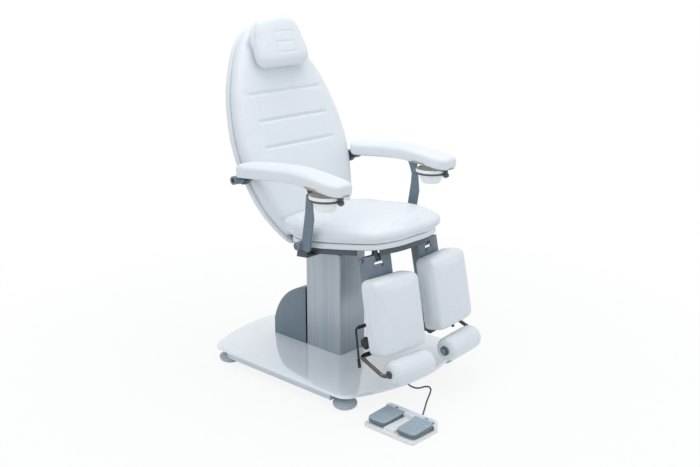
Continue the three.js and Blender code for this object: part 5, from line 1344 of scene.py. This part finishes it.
KNOB_RINGS = [(9.5, 0.2, 0), (13.5, 1.0, 0), (19.5, 3.0, 0.05), (22.2, 5.6, 0.065), (22.9, 8.8, 0.07),
              (22.9, 13.0, 0.07), (22.2, 16.2, 0.07), (20.0, 18.6, 0.06), (16.0, 19.8, 0.03), (12.0, 19.8, 0),
              (11.2, 19.0, 0), (0.1, 18.6, 0)]


def clamp_knob(n, s, lobes=6):
    at = LEG[n] @ move(s * (CHANNEL_SIDE + 0.014), *KNOB_AXLE) @ turn(90 * s, "Y")
    rings = [around(r / 1000, z / 1000, 96, lambda a, _: 1 - depth + depth * math.cos(lobes * a))
             for r, z, depth in KNOB_RINGS]
    stem = [(0, -0.033)] + thread_profile(0.0049, -0.0328, -0.010, 0.0014, 0.0006)
    stem += [(0.0049, -0.0098), (0.0085, -0.0096), (0.0085, -0.0082), (0.0049, -0.008),
             (0.0049, 0.0004), (0, 0.0004)]
    parts = [ring_mesh("head", rings, BLACK, at, angle=40), lathe("stem", stem, SCREW, at, 32)]
    dress(join(f"clamp_knob_{n}_moulded", *parts), None, "black", f"knob_{n}", [f"clamp_knob_{n}"])


# ---------------------------------------------------------------- the rollers' bent arms
ROD_OUT, ROD_IN, ROD_END = 0.125, 0.106, 0.040
COLLAR = [(7, 0), (13.4, 0), (14, 0.6), (14, 3.2), (13.2, 4), (10.5, 4), (10.5, 7.6), (9.8, 8.4), (7, 8.4)]
DISC = [(6, -0.2), (18.6, -0.2), (19.4, 0.6), (19.4, 2.2), (18.2, 3.2), (15, 3.2), (15, 2.4), (13, 2.4)]
BOLT = [(4.4, 8), (4.4, 12.8), (3.6, 13.6), (0, 13.6)]


def roller_arm(n, s):
    leg, low = LEG[n], (-ROLLER_FRONT[n], -ROLLER_DOWN)
    line = bent([(-s * ROD_END, *ROD_AXLE), (s * ROD_OUT, *ROD_AXLE), (s * ROD_OUT, *low),
                 (-s * ROD_IN, *low)], 0.017, 14)
    cuff = spline([(s * (CHANNEL_SIDE + 0.004), *ROD_AXLE), (s * 0.106, *ROD_AXLE)])
    parts = [tube("rod", line, 0.007, CHROME, leg, 28), tube("cuff", cuff, 0.0084, BLACK, leg, 28)]
    for side in (s, -s):
        m = leg @ move(side * (ROLLER_HALF + 0.0004), *low) @ turn(90 * side, "Y")
        parts.append(turned("collar", COLLAR, 0.0005, DARK_GREY, m, 56, 3))
    parts += [turned("disc", DISC, 0.0006, NUT_GREY, m, 72, 3),
              hex_nut("nut", 0.0085, 0.0042, NUT_GREY, m @ move(0, 0, 0.0076), 0.0045),
              turned("bolt", BOLT, 0.0004, SCREW, m, 24, 2)]
    dress(join(f"roller_arm_{n}_bent", *parts), None, "rod", f"roller_arm_{n}", [f"roller_arm_{n}"])


for n, s in SIDES:
    release_lever(n, s)
    clamp_knob(n, s)
    roller_arm(n, s)

# ---------------------------------------------------------------- foot switch
PEDAL_X0, PEDAL_X1, PEDAL_HALF = -0.059, 0.054, 0.040
PEDAL_LOW = 0.018
PEDAL_CORNER = 0.018
PEDAL_SPACING = 0.065             # each side of the switch's middle
RIBS, RIB_STEP, RIB_HALF = 9, 0.0098, 0.0285
SKIRT = [(2.2, 0.02), (1.0, 0.0), (0.3, 0.06), (0.0, 0.3), (0.0, 0.60), (0.4, 0.63), (1.4, 0.64)]
TREAD = [(1.4, 0.635), (0.6, 0.66), (0.3, 0.70), (0.6, 0.80), (2.2, 0.90), (5.0, 0.985), (6.2, 1.0),
         (7.2, 1.0), (7.9, 0.985), (8.8, 0.985), (15.0, 0.99), (26.0, 0.995), (36.0, 1.0)]


def pedal_top(x):
    return 0.0345 + 0.0055 * min(max((x - PEDAL_X0) / 0.094, 0), 1)


def pedal_ring(inset, part):
    """A ring set in by millimetres, at a part of the pedal's height."""
    inset /= 1000
    plan = rounded_rectangle(PEDAL_X0 + inset, PEDAL_X1 - inset, inset - PEDAL_HALF, PEDAL_HALF - inset,
                             max(PEDAL_CORNER - inset, 0.003), 12)
    return [(x, y, PEDAL_LOW + (pedal_top(x) - PEDAL_LOW) * part) for x, y in plan]


for n, e in (("front", -1), ("rear", 1)):
    at = SWITCH @ move(0, e * PEDAL_SPACING, 0)
    parts = [ring_mesh("skirt", [pedal_ring(*r) for r in SKIRT], PEDAL_SIDE, at, caps=True, angle=35),
             ring_mesh("top", [pedal_ring(*r) for r in TREAD], PEDAL, at, caps=True, angle=35)]
    for k in range(RIBS):
        x = -0.0430 + RIB_STEP * k
        line = [(x, side * RIB_HALF, pedal_top(x) - 0.0001) for side in (-1, 1)]
        parts.append(tube("rib", line, 0.0007, PEDAL, at, 8))
    dress(join(f"pedal_{n}_moulded", *parts), None, "pedal", f"pedal_{n}", [f"pedal_{n}"])

parts = [soft_box("strip", 0.0475, 0.0672, -0.0960, 0.0960, 0.0378, 0.0386, 0.003, RAIL_TOP, SWITCH, 0.0003)]
for e in (-1, 1):
    parts.append(soft_box("mark", 0.0535, 0.0590, e * 0.066 - 0.0065, e * 0.066 + 0.0065,
                          0.0385, 0.0389, 0.001, BLACK, SWITCH, 0.00015))
dress(join("foot_switch_trim", *parts), None, "housing", "base")

# ---------------------------------------------------------------- screws, caps and trim on the frame
for n, s in SIDES:
    link_foot = CHAIR @ move(s * 0.3012, *LINK_PIVOT) @ turn(90 * s, "Y")
    dress(cap_screw(f"link_foot_screw_{n}", 0.0084, 0.0048, SCREW, link_foot), None, "steel", "seat")
    eye = CHAIR @ move(s * 0.2941, LINK_PIVOT[0] - EYE_AT[0], LINK_PIVOT[1] + EYE_AT[1]) @ turn(90 * s, "Y")
    dress(cap_screw(f"link_eye_screw_{n}", 0.0062, 0.0036, SCREW, eye), None, "steel", f"armrest_{n}")
    pins = [cap_screw("pin", 0.0068, 0.0035, SCREW, LEG[n] @ move(side * 0.0671, 0, 0) @ turn(90 * side, "Y"))
            for side in (-1, 1)]
    dress(join(f"leg_pin_screws_{n}", *pins), None, "steel", f"leg_swivel_{n}")
    caps = [soft_box("cap", -0.0222, 0.0222, -0.0122, 0.0122, 0, 0.0022, 0.002, RUBBER,
                     CHAIR @ move(s * 0.305, e * 0.2781, 0.0413) @ turn(-90 * e, "X"), 0.0006)
            for e in (-1, 1)]
    dress(join(f"rail_caps_{n}", *caps), None, "rail_grey", "base")

WIPER_Y = 0.005                   # middle of the column's sleeve
loops = [rounded_rectangle(-hx, hx, WIPER_Y - hy, WIPER_Y + hy, r, 10)
         for hx, hy, r in ((0.0725, 0.0930, 0.012), (0.0690, 0.0895, 0.0085))]
dress(plate("column_wiper", loops, 0.0014, 0.0005, BLACK, CHAIR @ move(0, 0, 0.4689)), None, "black", "base")

# ---------------------------------------------------------------- floor, light, background
FLOOR_HALF = 14
NEAR_WHITE, FAR_WHITE = 0.86, 1.0  # how much of the floor's white the camera sees, near the chair and away
FADE_FROM, FADE_TO = 0.7, 2.2


def any_of(t, rays, *kinds):
    total = rays.outputs[kinds[0]]
    for kind in kinds[1:]:
        total = t.math("ADD", total, rays.outputs[kind], clamp=True)
    return total


def floor_material():
    """Pale floor that takes the chair's shadow, and is plain white to the camera away from it."""
    m, t, shader, at = empty_material("studio_floor")
    shader.inputs["Base Color"].default_value = (0.88, 0.89, 0.90, 1)
    shader.inputs["Roughness"].default_value = 0.6
    seen = any_of(t, t("ShaderNodeLightPath"), "Is Camera Ray", "Is Glossy Ray")
    away = t("ShaderNodeVectorMath", {"operation": "LENGTH"}, i0=at).outputs["Value"]
    fade = t("ShaderNodeMapRange", {"interpolation_type": "SMOOTHSTEP"}, i0=away, i1=FADE_FROM, i2=FADE_TO,
             i3=NEAR_WHITE, i4=FAR_WHITE)
    glow = t("ShaderNodeEmission", Color=(1, 1, 1, 1), Strength=1.0)
    mix = t("ShaderNodeMixShader", i0=t.math("MULTIPLY", seen, fade.outputs[0]), i1=shader, i2=glow)
    t.put(m.node_tree.nodes["Material Output"], "Surface", mix)
    return m


floor_mesh = bmesh.new()
bmesh.ops.create_grid(floor_mesh, x_segments=1, y_segments=1, size=FLOOR_HALF)
from_bmesh("studio_floor", floor_mesh, floor_material(), smooth=False)


def studio_world():
    """Soft bluish light all round, plain white where it is seen or mirrored."""
    world = bpy.data.worlds.new("studio")
    world.use_nodes = True
    t = Tree(world.node_tree)
    seen = any_of(t, t("ShaderNodeLightPath"), "Is Camera Ray", "Is Glossy Ray", "Is Transmission Ray")
    ambient = world.node_tree.nodes["Background"]
    ambient.inputs["Color"].default_value = (0.90, 0.95, 1.0, 1)
    ambient.inputs["Strength"].default_value = 0.59
    white = t("ShaderNodeBackground", Color=(1, 1, 1, 1), Strength=1.0)
    mix = t("ShaderNodeMixShader", i0=seen, i1=ambient, i2=white)
    t.put(world.node_tree.nodes["World Output"], "Surface", mix)
    return world


def lamp(name, at, towards, size, power, colour=(1, 1, 1)):
    data = bpy.data.lights.new(name, "AREA")
    data.shape = "RECTANGLE"
    data.size, data.size_y = size
    data.energy = power
    data.color = colour
    ob = bpy.data.objects.new(name, data)
    scene.collection.objects.link(ob)
    ob.location = at
    ob.rotation_euler = (Vector(towards) - Vector(at)).to_track_quat("-Z", "Y").to_euler()


scene.world = studio_world()
lamp("key", (-3.2, -0.6, 2.6), (0, 0, 0.6), (2.4, 2.4), 20, (1.0, 0.99, 0.98))
lamp("top", (0.2, 0.2, 3.6), (0, 0, 0.5), (2.8, 2.8), 50)
lamp("fill", (1.6, -3.6, 1.8), (0, 0, 0.6), (2.6, 2.0), 16, (0.96, 0.98, 1.0))
